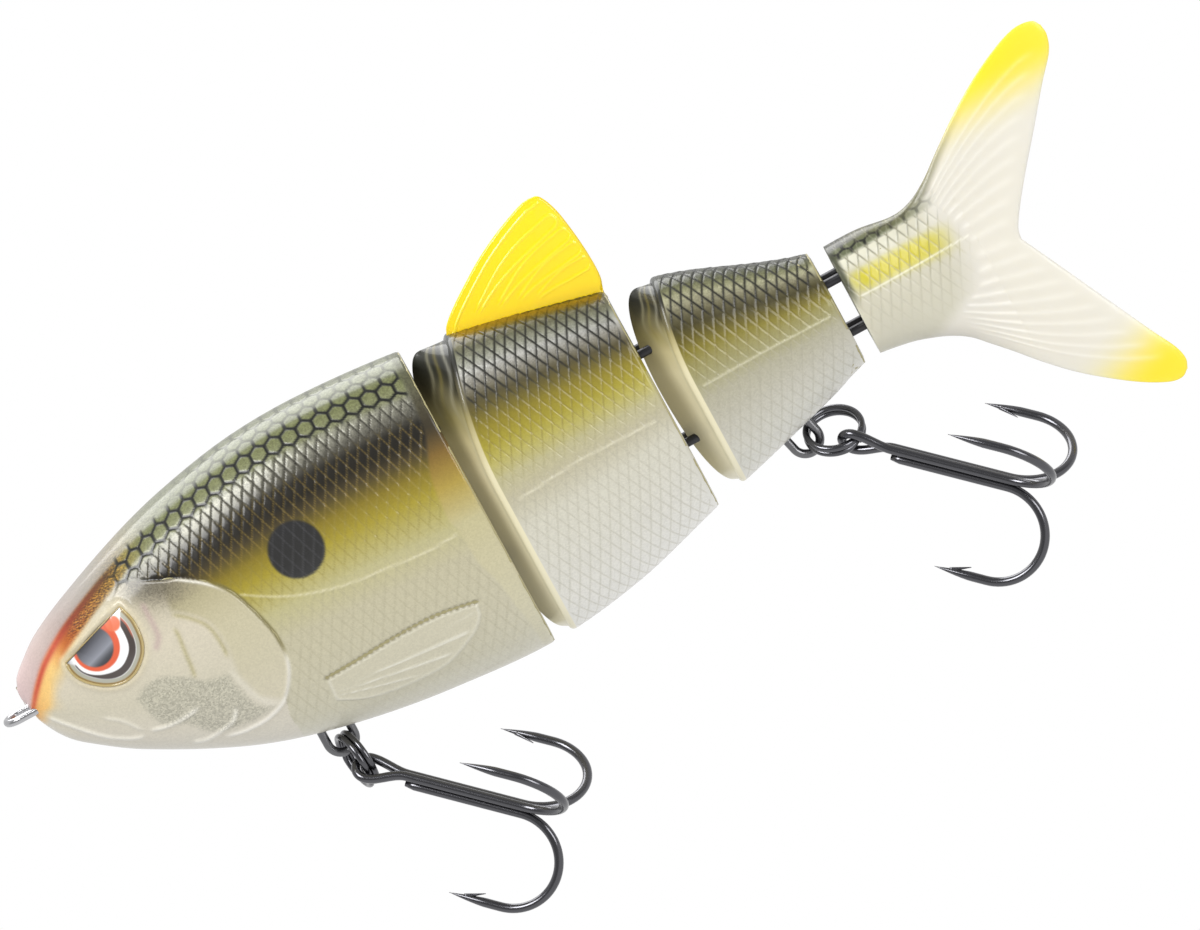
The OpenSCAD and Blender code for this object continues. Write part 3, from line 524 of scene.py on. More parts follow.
# the nose: orange at the tip and yellow behind it; a glittering brown and gold brow; a red line that
# darkens along the edge of the pale crown
warm = np.clip(ease(9.5, 6.0, from_top) * ease(14, 6, x) + 0.7 * ease(5.0, 1.5, x) * ease(0.36, 0.5, q), 0, 1)
tone = tint([(0, 234, 158, 62), (3, 240, 190, 104), (7, 236, 196, 112), (13, 206, 156, 74)], x)
paint = lay(paint, tone, warm * 0.8)
speck = np.sin(9.1 * x + 5 * np.sin(7.3 * from_top)) * np.sin(11.7 * from_top + 4 * np.sin(6.1 * x))
brow_gold = ease(7.6, 6.6, from_top) * ease(5, 9, x) * ease(25, 20, x)
paint = lay(paint, tint([(6, 196, 96, 36), (11, 140, 74, 22), (15, 128, 88, 30), (20, 128, 118, 60),
                         (24, 100, 100, 60)], x), brow_gold)
specked = brow_gold * ease(8, 11, x) * ease(22, 17, x)
paint = lay(paint, (44, 26, 12), specked * ease(0.0, 0.6, speck) * 0.75)
paint = lay(paint, (214, 160, 60), specked * ease(0.3, 0.8, -speck) * 0.7)
crown = ease(5.0, 4.2, from_top)
tone = tint([(0, 206, 184, 186), (4, 186, 168, 166), (9, 162, 152, 148), (14, 150, 146, 140),
             (20, 142, 138, 128), (28, 132, 134, 120), (60, 140, 142, 130)], x)
paint = lay(paint, tone, crown * (0.55 + 0.4 * ease(30, 12, x)))
red = bump(from_top - 5.0, 0.55) * ease(20, 15, x)
paint = lay(paint, tint([(0, 206, 98, 60), (3, 186, 72, 56), (7, 184, 76, 56), (10, 132, 52, 32),
                         (15, 96, 52, 24), (20, 40, 36, 24)], x), red * 0.92)
# lines of the scale lattice: gold on the dark band, olive elsewhere
cut = grooves(u, v, 0.06) * scaled
paint = lay(paint, (150, 126, 56), cut * ease(0.66, 0.72, q) * ease(0.86, 0.82, q) * 0.55)
paint = lay(paint, (44, 42, 36), cut * ease(0.83, 0.87, q) * 0.85)
paint = lay(paint, (132, 120, 56), cut * ease(0.48, 0.56, q) * ease(0.7, 0.64, q) * 0.45)
paint = lay(paint, (158, 152, 126), cut * ease(0.52, 0.45, q) * 0.35)
# black outlines round the big six-sided scales of the back, fainter on the pale crown
roof = ease(8.6, 7.6, from_top) * ease(15.5, 19.5, x) * ease(0, 0.4, band_x - x)
strong = 0.95 * ease(3.7, 5.0, from_top) + 0.3 * ease(24, 36, x) * ease(5.0, 3.7, from_top)
net = netting(x, from_top)
paint = lay(paint, (126, 130, 82), roof * ease(4.4, 5.2, from_top) * ease(18, 24, x) * (1 - net) * 0.4)
paint = lay(paint, (12, 13, 10), net * roof * strong)
h += 0.05 * (1 - net) * roof * strong
# the dark round spot behind the gill cover
paint = lay(paint, (40, 40, 42), spot * 0.97)
paint = lay(paint, (66, 66, 68), spot * cut * 0.7)
# the fin's dark toothed edge, the bright lateral line, and the band at the rim
paint = lay(paint, (204, 199, 178), np.where(pec_in, 0.45 * ease(0, 0.5, pec_r), 0))
paint = lay(paint, (230, 228, 216), np.where(pec_in, ray * 0.75 + 0.4 * fin_edge, 0))
paint = lay(paint, (66, 58, 32), notch * (0.2 + 0.8 * teeth))
paint = lay(paint, (226, 220, 190), lat * 0.5)
rim_tone = tint([(0.0, 206, 202, 180), (0.5, 186, 178, 138), (0.62, 170, 146, 72), (0.72, 128, 98, 44),
                 (0.8, 62, 54, 36), (1.0, 84, 86, 66)], q)
paint = lay(paint, rim_tone, ease(0.3, -0.3, band_x - x) * 0.8)
metal = ~face * (0.3 * ease(0.82, 0.87, q) * ease(8.0, 8.8, from_top) + 0.08 * ease(0.5, 0.6, q))
glitter = np.clip(0.18 + np.maximum(0.62 * patch, haze) + 0.6 * ease(0.8, 0.88, q) * ease(14, 20, x)
                  + 0.5 * np.clip(-ridge_highlight_and_crease, 0, 1), 0, 1)

# the eye's socket: the skin inside the eye's outline drops behind the printed disc
eye_n = np.array((-0.2908, -0.9511, 0.1045))
eye_u = np.array((0.9563, -0.2924, 0.0))
eye_v = np.array((0.0306, 0.1, 0.9945))
eye_c = np.array((NOSE + 12.1, -(float(outline(12.1)[2]) - 1.1), 4.0))
eye_edge = rounded([(-4.9, 0.4), (-4.8, -0.7), (-4.3, -1.9), (-3.3, -3.0), (-1.9, -4.0), (-0.4, -4.6),
                    (1.1, -4.7), (2.6, -4.2), (3.9, -3.2), (4.7, -2.2), (5.2, -0.9), (5.3, 0.7), (5.1, 2.1),
                    (4.3, 3.9)], 4)
closed_edge, lid_line = eye_edge + eye_edge[:1], [eye_edge[0], eye_edge[-1]]
rel = P - eye_c
eu, ev = rel @ eye_u, rel @ eye_v
eye_in = within(eye_edge, eu, ev)
eye_r, _ = near(closed_edge, eu, ev)
ring = np.where(eye_in, 0, bump(eye_r - 0.55, 0.5)) * 0.22
brow_r, brow_s = near(lid_line, eu, ev)
(lid_u, lid_v), (end_u, end_v) = lid_line
above = (ev - lid_v) * (end_u - lid_u) > (eu - lid_u) * (end_v - lid_v)
brow = np.where(above, bump(brow_r - 0.8, 0.7), 0) * ease(0, 2, brow_s) * ease(0, 2, 9.8 - brow_s) * 0.5
drop = np.where(eye_in, 2.3 * ease(0.05, 0.3, eye_r), 0)
P = P + N * h[..., None] + eye_n * (ring + brow - drop)[..., None]
paint = lay(paint, (206, 196, 168), np.where(eye_in, 0, bump(eye_r - 0.5, 0.45)) * 0.7)


def extend(a):
    """A grid of the head with its last row repeated for each row of the rim's inner lip."""
    return np.concatenate([a] + [a[-1:]] * len(lips), axis=0)


face_normals = seamed(grid_normals(P))
P[:, [0, -1], 1] = 0
whole = np.concatenate([P] + lips, axis=0)
normals = grid_normals(whole)
normals[: len(P)] = face_normals
normals[:, [0, -1], 1] = 0
for side in (-1, 1):
    half_piece(side, "head_skin", whole, extend(paint), extend(metal), extend(glitter), 0 * extend(metal),
               (extend(u), extend(v)), normals, "head")

# ---- Front and rear body skins ----
# Two moulded sections between the head and the tail: each has a wedge-shaped nose face of plain
# olive plastic, a rounded lip, scaled and painted sides, and a rim at its rear.
BEVEL = 0.7
flank_2 = [(0.0, 232, 231, 226), (0.05, 226, 225, 219), (0.2, 208, 206, 196), (0.4, 198, 195, 179),
           (0.5, 178, 172, 146), (0.57, 178, 172, 132), (0.63, 174, 165, 88), (0.68, 158, 146, 52),
           (0.74, 132, 119, 38), (0.79, 96, 86, 40), (0.82, 80, 73, 48), (0.86, 134, 130, 118),
           (0.9, 176, 175, 169), (0.93, 148, 149, 134), (0.96, 98, 98, 76), (1.0, 84, 74, 38)]
flank_3 = [(0.0, 222, 221, 214), (0.1, 206, 205, 196), (0.3, 184, 181, 167), (0.45, 168, 164, 142),
           (0.55, 152, 147, 106), (0.62, 144, 137, 84), (0.68, 126, 116, 44), (0.74, 90, 81, 24),
           (0.79, 62, 56, 24), (0.83, 88, 83, 58), (0.88, 148, 144, 118), (0.92, 172, 170, 138),
           (0.96, 92, 93, 62), (1.0, 44, 46, 30)]


def section_skin(label, body, d0, d1, wedge, setback, dish, n, colours, lateral):
    """Both sides' skins of a body section from its nose ridge, over the lip, to the rear rim."""
    t = np.linspace(-90, 90, 232)
    lean = setback * np.clip(np.sin(np.radians(t)), 0, None) ** 2
    foot, rim = skin(d0, t, BEVEL), skin(d0 + lean, t, BEVEL)
    ridge = foot.copy()
    ridge[:, 0], ridge[:, 1] = foot[:, 0] - math.tan(math.radians(wedge)) * np.abs(foot[:, 1]), 0
    rows = [ridge + (rim - ridge) * v for v in np.linspace(0, 1, 26)]
    rows += [skin(d0 + lean + BEVEL * (1 - math.cos(a)), t, BEVEL * (1 - math.sin(a)))
             for a in np.linspace(0, math.pi / 2, 9)[1:]]
    front = len(rows)
    start = d0 + BEVEL + lean
    straight_end = d1 - RIM_ROUND
    rows += [skin(start + (straight_end - start) * i / n, t) for i in range(1, n + 1)]
    skin_end = len(rows)
    rows += [skin(straight_end + RIM_ROUND * math.sin(a), t, RIM_ROUND * (1 - math.cos(a)))
             for a in np.linspace(0, math.pi / 2, 6)[1:]]
    edge = rows[-1]
    for k in (0.2, 0.5, 0.8):
        lip = skin(d1, t, RIM_ROUND + k)
        sunk = math.tan(math.radians(dish)) * (np.abs(edge[:, 1]) - np.abs(lip[:, 1]))
        lip[:, 0] = edge[:, 0] - sunk + 0.06
        rows.append(lip)
    P = np.stack(rows)
    if label == "rear_skin":
        # the rim and its lips stay outside the room in which the links to the tail swing
        back, belly, _ = outline(TAIL_START)
        links_up, half_link, swing_room = (back - 3.9, belly + 4.4), 1.2, 4.7
        for height in links_up:
            y = P[skin_end:, :, 1]
            outside = np.maximum(np.abs(y), np.minimum(np.abs(P[skin_end - 1, :, 1]), swing_room))
            beside = np.abs(P[skin_end:, :, 2] - height) < half_link
            P[skin_end:, :, 1] = np.where(beside, np.sign(y) * outside, y)
    N = grid_normals(P)
    x, z = P[..., 0] - NOSE, P[..., 2]
    top, low, _ = outline(x)
    q = np.clip((z - low) / (top - low), 0, 1)
    g = girth(P)
    on = np.zeros(P.shape[:2])
    on[front:skin_end] = 1
    from_front = x - (d0 + BEVEL + lean)[None, :]
    on *= ease(0.0, 0.5, from_front) * ease(0.0, 0.4, straight_end - x)
    u, v = lattice(x, g)
    h = 0.06 + on * scales(u, v) * (0.45 + 0.2 * ease(0.2, 0.6, q) + 0.35 * ease(0.8, 0.88, q))
    lat, dash = dashes(lateral, x, z)
    h += 0.1 * dash * on
    paint = tint(colours, q)
    narrow = grooves(u, v, 0.06 + 0.05 * ease(0.7, 0.85, q)) * on
    paint = lay(paint, (118, 106, 44), narrow * ease(0.5, 0.66, q) * ease(0.84, 0.78, q) * 0.6)
    paint = lay(paint, (28, 28, 24), narrow * ease(0.74, 0.84, q) * 0.9)
    paint = lay(paint, (164, 160, 142), narrow * ease(0.58, 0.46, q) * 0.4)
    paint = lay(paint, (232, 228, 204), lat * on * 0.45)
    # yellow light from the fin on the back beside it, with a dark line at its foot
    from_top = g[:, -1:] - g
    beside = on * ease(68.0, 70.0, x) * ease(88.4, 88.0, x) if label == "front_skin" else 0 * on
    paint = lay(paint, (140, 106, 24), beside * ease(3.6, 1.6, from_top) * 0.75)
    paint = lay(paint, (26, 24, 16), beside * ease(1.35, 1.0, from_top) * ease(76, 80, x) * 0.85)
    # the nose face: olive plastic, paler than its own colour to lift it out of the shade between the sections
    # (painted light), with glossy streaks high up painted as reflections, and a painted highlight along the
    # lip
    v_face = np.zeros(P.shape[:2])
    v_face[:26] = np.linspace(0, 1, 26)[:, None]
    plain = np.zeros(P.shape[:2])
    plain[:front] = 1
    olive_face = tint([(0.0, 210, 205, 182), (0.3, 206, 199, 170), (0.6, 202, 194, 160),
                       (0.7, 188, 178, 136), (0.78, 138, 128, 84), (0.85, 58, 55, 42),
                       (0.93, 34, 34, 28), (1.0, 50, 52, 44)], q)
    # painted reflections: glossy streaks high up on the face
    for place, shade in ((0.42, (140, 136, 112)), (0.62, (112, 102, 54)), (0.86, (150, 148, 134))):
        line = bump(v_face - place + 0.05 * np.sin(q * 40), 0.045)
        olive_face = lay(olive_face, shade, line * ease(0.72, 0.84, q) * 0.7)
    painted_gloss_streak = 0.5 + 0.5 * np.sin(q * 31 + 2.2 * v_face + 1.1 * np.sin(v_face * 7))
    olive_face = lay(olive_face, (150, 142, 104), painted_gloss_streak * ease(0.6, 0.8, q) * ease(0.95, 0.85, q) * 0.45)
    paint = lay(paint, olive_face, plain)
    # painted highlight along the lip
    paint = lay(paint, (186, 182, 154), plain * ease(0.9, 1.0, v_face) * 0.35 * ease(0.9, 0.7, q))
    metal = on * (0.35 * ease(0.82, 0.87, q) * ease(0.96, 0.92, q) + 0.08 * ease(0.5, 0.6, q))
    glitter = np.clip(0.2 + 0.5 * ease(0.8, 0.88, q), 0, 1) * on
    P = P + N * h[..., None]
    P[:, [0, -1], 1] = 0
    P[0, :, 1] = 0
    # painted light: the nose face glows by emission, lifting it out of the shade between the sections
    painted_glow = 0.22 * plain * ease(0.88, 0.76, q)
    for side in (-1, 1):
        half_piece(side, label, P, paint, metal, glitter, painted_glow, (u, v), seamed(grid_normals(P)), body)


section_skin("front_skin", "front_section", FRONT_START, FRONT_END, 23.5, 3.5, 5.0, 196, flank_2,
             [(66.5, -3.9), (75.3, -3.3), (86.0, -3.8)])
section_skin("rear_skin", "rear_section", REAR_START, REAR_END, 27.0, 2.0, 0.0, 176, flank_3,
             [(93.5, -2.9), (102, -3.0), (111.4, -3.4)])

# ---- Eyes ----
# A printed almond under a clear dome: dark pupil, orange ring, silver and dark crescents.
# The print sits on the dome itself, under a clear coat, with a thin moulded rim round it.


def finish(name, colour, **sockets):
    """A material in one screen colour, or in the mesh's own paint for None, with these socket values."""
    m = bpy.data.materials.new(name)
    m.use_nodes = True
    shader = m.node_tree.nodes["Principled BSDF"]
    if colour is None:
        paint = m.node_tree.nodes.new("ShaderNodeVertexColor")
        paint.layer_name = "paint"
        m.node_tree.links.new(paint.outputs["Color"], shader.inputs["Base Color"])
    else:
        shader.inputs["Base Color"].default_value = (*linear(colour), 1)
    for socket, value in sockets.items():
        shader.inputs[socket.replace("_", " ")].default_value = value
    return m


def along(line, share):
    """Points at these shares of a line's length."""
    line = np.array(line, float)
    run = np.concatenate([[0], np.cumsum(np.linalg.norm(np.diff(line, axis=0), axis=1))])
    return np.stack([np.interp(share * run[-1], run, line[:, i]) for i in (0, 1)], -1)


eye_paint = finish("eye print", None, Roughness=0.35, Coat_Weight=1.0, Coat_Roughness=0.02)
rim_plastic = finish("eye rim", (176, 156, 104), Roughness=0.12, Coat_Weight=1.0)
outer_u, outer_v = along(closed_edge, np.linspace(0, 1, 181)[:-1]).T
f = np.linspace(0, 1, 70)[1:] ** 0.8
f = np.concatenate([[0], f])[:, None]
# places on the dome, back and up from its middle, and how far each rises out of the socket
dome_u, dome_v = f * outer_u, f * outer_v
rise = 1.35 * (1 - np.clip(np.hypot(dome_u / 5.6, dome_v / 5.2), 0, 1) ** 2) - 0.35
eb, _ = near(closed_edge, dome_u, dome_v)
lid, _ = near(lid_line, dome_u, dome_v)
away_from_lid = ease(0.0, 0.3, lid - eb)
art = np.broadcast_to(np.array((238, 239, 240.0)), dome_u.shape + (3,)).copy()
iris = np.hypot(dome_u + 0.5, dome_v - 0.75)
# painted shade: the white greys outside the iris towards its front edge
art = lay(art, (150, 150, 156), ease(3.4, 4.4, iris) * ease(0.2, -1.6, dome_u + 0.2 * dome_v) * 0.7)
art = lay(art, (216, 92, 58), ease(3.25, 3.05, iris))
# painted highlight: a lighter orange patch high on the rear of the ring
art = lay(art, (222, 112, 74), ease(1.1, 0.8, np.hypot(dome_u - 2.75, dome_v - 2.4)))
pupil = np.hypot(dome_u + 0.7, dome_v - 0.75)
tone = tint([(0.0, 54, 54, 60), (1.1, 104, 106, 114), (2.3, 140, 143, 152), (3.2, 70, 71, 76),
             (4.2, 34, 34, 38)], lid)
art = lay(art, tone, ease(2.65, 2.4, pupil))
# the bezel: a brown crescent that thins out to both ends, clear plastic, and a gold line at the edge
thick = 0.95 + 0.7 * ease(-3.5, 1.0, dome_u) * ease(3.6, 1.2, dome_v)
art = lay(art, (50, 40, 36), ease(0.72, 0.9, eb) * ease(thick + 0.1, thick - 0.05, eb) * away_from_lid * 0.92)
art = lay(art, (206, 104, 76),
          ease(0.72, 0.8, eb) * ease(1.05, 0.95, eb) * ease(-0.6, 0.6, dome_v) * away_from_lid * 0.7)
art = lay(art, (166, 165, 150), ease(0.8, 0.66, eb) * away_from_lid)
art = lay(art, (140, 112, 56), ease(0.34, 0.16, eb) * away_from_lid * 0.9)
art = lay(art, (70, 64, 56), ease(0.2, 0.08, lid) * 0.8)


def bowl(a, b):
    """The terms 1, a, b, a^2, ab and b^2 of a smoothly curved face."""
    return np.stack([1 + 0 * a, a, b, a * a, a * b, b * b], -1)


# where the face rises over the dome's edge the print lies on the face
close = np.hypot(eu / 6.5, ev / 5.5) < 1
fit = np.linalg.lstsq(bowl(eu[close], ev[close]), (rel @ eye_n)[close], rcond=None)[0]
rise = np.maximum(rise, bowl(dome_u, dome_v) @ fit + 0.2)


def tube(path, radii, sides=16, closed=False):
    """A round wire along a path in millimetres: rings square to it, carried along without a twist."""
    path = np.asarray(path, float)
    k = len(path)
    radii = np.broadcast_to(np.asarray(radii, float), (k,))
    way = np.roll(path, -1, 0) - np.roll(path, 1, 0) if closed else np.gradient(path, axis=0)
    way /= np.linalg.norm(way, axis=1, keepdims=True)
    m, carried = np.cross(way[0], (0.3, 0.5, 0.8)), []
    for heading in way:
        m = m - heading * (m @ heading)
        m /= np.linalg.norm(m)
        carried.append(m)
    m = np.array(carried)
    # the twist left over after one turn of a closed wire is spread along it
    home = m[-1] - way[0] * (m[-1] @ way[0])
    twist = math.atan2(np.cross(m[0], home) @ way[0], m[0] @ home) if closed else 0.0
    w = np.linspace(0, 2 * np.pi, sides, endpoint=False) - twist * np.arange(k)[:, None] / k
    ring = np.cos(w)[..., None] * m[:, None] + np.sin(w)[..., None] * np.cross(way, m)[:, None]
    p = (path[:, None] + radii[:, None, None] * ring).reshape(-1, 3)
    quads = grid_faces(k + closed, sides, wrap=True) % len(p)
    if closed:
        return p, quads
    j, e = np.arange(sides), len(p)
    start = np.stack([(j + 1) % sides, j, np.full(sides, e)], -1)
    end = np.stack([e - sides + j, e - sides + (j + 1) % sides, np.full(sides, e + 1)], -1)
    return np.concatenate([p, path[:1], path[-1:]]), (quads, np.concatenate([start, end]))


def mesh_of(name, wires, material, body, slot_name, *stands_for):
    """One object from several wires, each given as points and faces in millimetres."""
    points, faces, base = [], [], 0
    for p, f in wires:
        for group in f if isinstance(f, tuple) else (f,):
            faces += (group + base).tolist()
        points.append(p)
        base += len(p)
    mesh = bpy.data.meshes.new(name)
    mesh.from_pydata((np.concatenate(points) * MM).tolist(), [], faces)
    mesh.polygons.foreach_set("use_smooth", np.full(len(mesh.polygons), True))
    mesh.update()
    o = bpy.data.objects.new(name, mesh)
    bpy.context.scene.collection.objects.link(o)
    belongs(o, material, body, slot_name, *stands_for)


for side, word in ((-1, "left"), (1, "right")):
    mirror = np.array((1, -side, 1))
    centre, across, upwards, out_axis = eye_c * mirror, eye_u * mirror, eye_v * mirror, eye_n * mirror
    p = centre + dome_u[..., None] * across + dome_v[..., None] * upwards + rise[..., None] * out_axis
    o = build(f"eye_print_{word}", p, grid_faces(70, 180, flip=side > 0, wrap=True), art)
    belongs(o, eye_paint, "head", "printed_eye", f"eye_disc_{word}", f"eye_dome_{word}")
    ring_path = (centre + 1.02 * (outer_u[:, None] * across + outer_v[:, None] * upwards)
                 + (rise[-1][:, None] + 0.04) * out_axis)
    rim_wire = tube(ring_path, np.where(lid[-1] < 0.3, 0.08, 0.17), 10, closed=True)
    mesh_of(f"eye_rim_{word}", [rim_wire], rim_plastic, "head", "clear_dome")

# ---- Dorsal fin ----
# Bright yellow moulded plastic: a sail with rays that end in rounded leaves at its rear edge.
fin_front = rounded([(68.2, 16.6), (68.9, 17.9), (70.7, 19.5), (73.5, 21.5), (76.4, 23.4), (79.6, 25.1),
                     (82.4, 26.3), (84.2, 26.95), (85.4, 27.1)], 10)
fin_rear = rounded([(85.4, 27.1), (86.4, 26.9), (87.1, 26.0), (87.8, 24.0), (88.25, 21.5), (88.6, 18.5),
                    (88.75, 15.6), (88.6, 13.6), (88.0, 12.4)], 10)
fin_line = fin_front + fin_rear[1:]
share = np.linspace(0, 1, 261)
edge_d, edge_z = along(fin_line, share).T
base_d = 68.1 + (88.3 - 68.1) * share
base_z = outline(base_d)[0] - 0.9
s = np.sin(np.linspace(0, np.pi / 2, 120))[:, None]
fin_d = base_d + (edge_d - base_d) * s
fin_z = base_z + (edge_z - base_z) * s
edge_r, _ = near(fin_line, fin_d, fin_z)
# four rays, each a long leaf that swells towards the rear edge and closes in a rounded tip
ridge = np.zeros(fin_d.shape)
for root_at, tip_at, bulge in (((72.6, 17.2), (86.3, 23.2), 0.9), ((75.6, 16.8), (87.0, 20.9), 0.7),
                               ((78.2, 16.4), (87.4, 18.7), 0.5), ((80.4, 15.6), (87.6, 16.5), 0.3)):
    a, b = np.array(root_at), np.array(tip_at)
    way = np.linspace(0, 1, 24)
    spine = a + (b - a) * way[:, None] + bulge * np.sin(np.pi * way)[:, None] * np.array((-0.4, 0.9))
    r, s = near(spine, fin_d, fin_z)
    s = s / s.max()
    ridge = np.maximum(ridge, bump(r - 0.25 - 0.62 * ease(0, 0.75, s), 0.15) * ease(0.0, 0.12, s))
front_line, _ = near(fin_front[8:], fin_d, fin_z)
ridge = np.maximum(ridge, bump(front_line - 1.1, 0.16) * ease(0.3, 1.0, edge_r))
ridge = ridge * ease(0.4, 0.8, edge_r)
half_fin = 0.26 + 0.5 * np.clip(edge_r / 9, 0, 1) ** 0.8
half_fin = half_fin * np.sqrt(np.clip(1 - (1 - np.clip(edge_r / 0.3, 0, 1)) ** 2, 0, 1))
half_fin = half_fin + 0.11 * ridge * ease(0, 0.5, edge_r)
yellow = tint([(0.0, 234, 196, 4), (0.15, 244, 212, 2), (0.6, 247, 217, 4), (1.0, 248, 219, 18)],
              np.clip((fin_z - base_z) / 14, 0, 1))
# painted highlight: the raised rays and their leaves are lighter yellow
yellow = lay(yellow, (252, 234, 84), ridge * 0.5)
yellow = lay(yellow, (222, 190, 10), ease(0.5, 0.1, edge_r) * 0.5)
fin_plastic = finish("yellow plastic", None, Roughness=0.25, Coat_Weight=0.35, Coat_Roughness=0.12,
                     Subsurface_Weight=0.15, Subsurface_Radius=(1.0, 0.8, 0.1), Subsurface_Scale=0.0015)


def two_sided(d, z, half, paint):
    """A closed plate from its left face: points of both faces, quads of both, and paint for both."""
    rows, columns = d.shape
    left = np.stack([d + NOSE, -half, z], -1)
    right = np.stack([d + NOSE, half, z], -1)
    f = grid_faces(rows, columns)
    return (np.concatenate([left.reshape(-1, 3), right.reshape(-1, 3)]),
            np.concatenate([f[:, ::-1], f + rows * columns]), np.concatenate([paint.reshape(-1, 3)] * 2))


p, f, c = two_sided(fin_d, fin_z, half_fin, yellow)
belongs(build("dorsal_fin_sail", p, f, c), fin_plastic, "front_section", "yellow_fin", "dorsal_fin")

# ---- Tail ----
# One soft plastic moulding: a thick scaled root that runs out into a thin forked fin with rays.
# Milky and translucent, with yellow tips, an olive upper edge and a yellow band on the root.
up_edge = rounded([(114.9, 3.6), (117.2, 3.65), (120.0, 3.55), (124.2, 2.95), (127.0, 3.5), (129.8, 5.1),
                   (133.2, 7.8), (137.2, 10.8), (141.9, 13.8), (146.2, 15.9), (149.0, 16.7),
                   (151.1, 16.4), (151.9, 15.4)], 12)
low_edge = rounded([(114.9, -11.6), (117.4, -12.0), (120.0, -12.6), (123.3, -13.9), (125.7, -15.4),
                    (127.7, -17.5), (129.7, -19.7), (132.2, -22.6), (135.2, -25.7), (138.5, -28.5),
                    (141.9, -31.0), (145.0, -32.7), (146.8, -33.0), (147.9, -32.3)], 12)
trail_top = rounded([(137.2, -7.5), (137.5, -6.1), (139.0, -3.7), (141.6, -0.2), (145.2, 4.3), (148.7, 8.8),
                     (151.2, 11.8), (152.0, 13.9), (151.9, 15.4)], 12)
trail_low = rounded([(137.2, -7.5), (138.6, -10.3), (140.5, -14.2), (142.4, -18.1), (144.3, -22.0),
                     (146.2, -25.9), (147.8, -29.0), (148.3, -31.0), (147.9, -32.3)], 12)
t = np.linspace(-90, 90, 251)
k = np.sin(np.radians(t))
s = np.linspace(0, 1, 300)
upper, lower = along(up_edge, s), along(low_edge, s)
rear = np.where(k[:, None] > 0, along(trail_top, np.clip(k, 0, 1)), along(trail_low, np.clip(-k, 0, 1)))
base = np.stack([np.full(k.shape, TAIL_START), -4.0 + 7.6 * k], -1)
# every place on the tail's side, blended from its four edges: distance behind the nose, and height
S, K = s[:, None, None], ((k + 1) / 2)[None, :, None]
patch = ((1 - S) * base[None] + S * rear[None] + (1 - K) * lower[:, None] + K * upper[:, None]
         - ((1 - S) * (1 - K) * base[0] + (1 - S) * K * base[-1] + S * (1 - K) * rear[0] + S * K * rear[-1]))
tail_d, tail_z = patch[..., 0], patch[..., 1]
top, low = outline(np.clip(tail_d, 0, 132))[:2]
root_half = np.interp(tail_d, [TAIL_START, 118, 121, 124, 127, 130, 132.4, 134],
                      [4.54, 4.25, 3.6, 2.8, 2.0, 1.35, 0.9, 0.0])
round_off = np.clip(1 - k[None, :] ** 2, 0, 1) ** 0.43
lobe = np.clip(1 - (np.clip(tail_d - 124, 0, None) / 8.3) ** 2, 0, 1) ** 0.5
root_half = root_half * round_off * lobe
rim = np.sqrt(np.clip(1 - np.abs(k[None, :]) ** 10, 0, 1)) * np.sqrt(np.clip(1 - s[:, None] ** 40, 0, 1))
blade = (0.8 - 0.42 * s[:, None] ** 1.2) * rim
swell = np.sqrt(root_half**2 + blade**2)
# the scales end at a curved line across the root, and the milky colour starts to change before it
scales_end = np.interp(tail_z, [-13.7, -12.5, -10.0, -7.2, -3.8, 2, 5],
                       [123.2, 125.7, 130.5, 131.9, 132.3, 130.5, 127.0])
root = ease(0.0, 1.2, scales_end - tail_d) * ease(0.0, 0.5, tail_d - TAIL_START)
plug = ease(0.0, 5.5, scales_end - tail_d)
u, v = lattice(tail_d, tail_z * 1.05)
ray = bump(lines(k * 10.5), 0.22) * ease(0.95, 0.85, np.abs(k))
ray = ray * (ease(0.3, 0.45, s) * ease(0.97, 0.9, s))[:, None]
relief = root * plug * scales(u, v, 0.07) * (0.4 + 0.6 * ease(-9.5, -6.0, tail_z))
swell = swell + (relief + 0.06 * ray * (1 - root)) * rim * ease(0.02, 0.2, swell)
relative = (tail_z - low) / (top - low)
milk = tint([(0.0, 202, 199, 182), (0.5, 200, 196, 176), (1.0, 196, 193, 172)], np.clip(relative, 0, 1))
milk = lay(milk, (217, 213, 202), 1 - plug)
cut = grooves(u, v, 0.065) * root * plug
yellow_band = ease(0.53, 0.66, relative) * ease(0.8, 0.7, relative)
yellow_band *= ease(131.0, 125.5, tail_d) * ease(115, 119, tail_d + 4 * relative - 2)
milk = lay(milk, (202, 190, 30), yellow_band * 0.9)
silver = ease(0.76, 0.84, relative) * ease(0.97, 0.92, relative) * ease(130, 120, tail_d)
milk = lay(milk, (218, 216, 198), silver * 0.85)
dark_top = ease(0.88, 0.92, relative) * ease(131.0, 123.0, tail_d)
milk = lay(milk, (84, 90, 62), dark_top * 0.92)
net = np.clip(netting(tail_d, 30 * (1 - relative), 1.9, 1.7) + ease(0.965, 0.985, relative), 0, 1)
milk = lay(milk, (20, 20, 16), dark_top * net * 0.9)
edge_u, _ = near(up_edge, tail_d, tail_z)
milk = lay(milk, (96, 94, 62), ease(1.2, 0.2, edge_u) * ease(146, 126, tail_d) * ease(114, 120, tail_d) * 0.7)
milk = lay(milk, (70, 68, 48), cut * ease(0.78, 0.82, relative) * ease(0.92, 0.88, relative) * 0.6)
milk = lay(milk, (150, 138, 70), cut * ease(0.5, 0.56, relative) * ease(0.84, 0.78, relative) * 0.5)
milk = lay(milk, (176, 172, 152), cut * ease(0.1, 0.4, relative) * 0.35)
tip_up = ease(4.5, 14.0, tail_z) ** 1.4
tip_low = ease(-20.5, -31.5, tail_z + 0.35 * (144 - tail_d)) ** 1.4
tips = np.clip(tip_up + tip_low, 0, 1)
milk = lay(milk, tint([(0, 236, 218, 120), (1, 242, 212, 22)], tips), tips * 0.92)
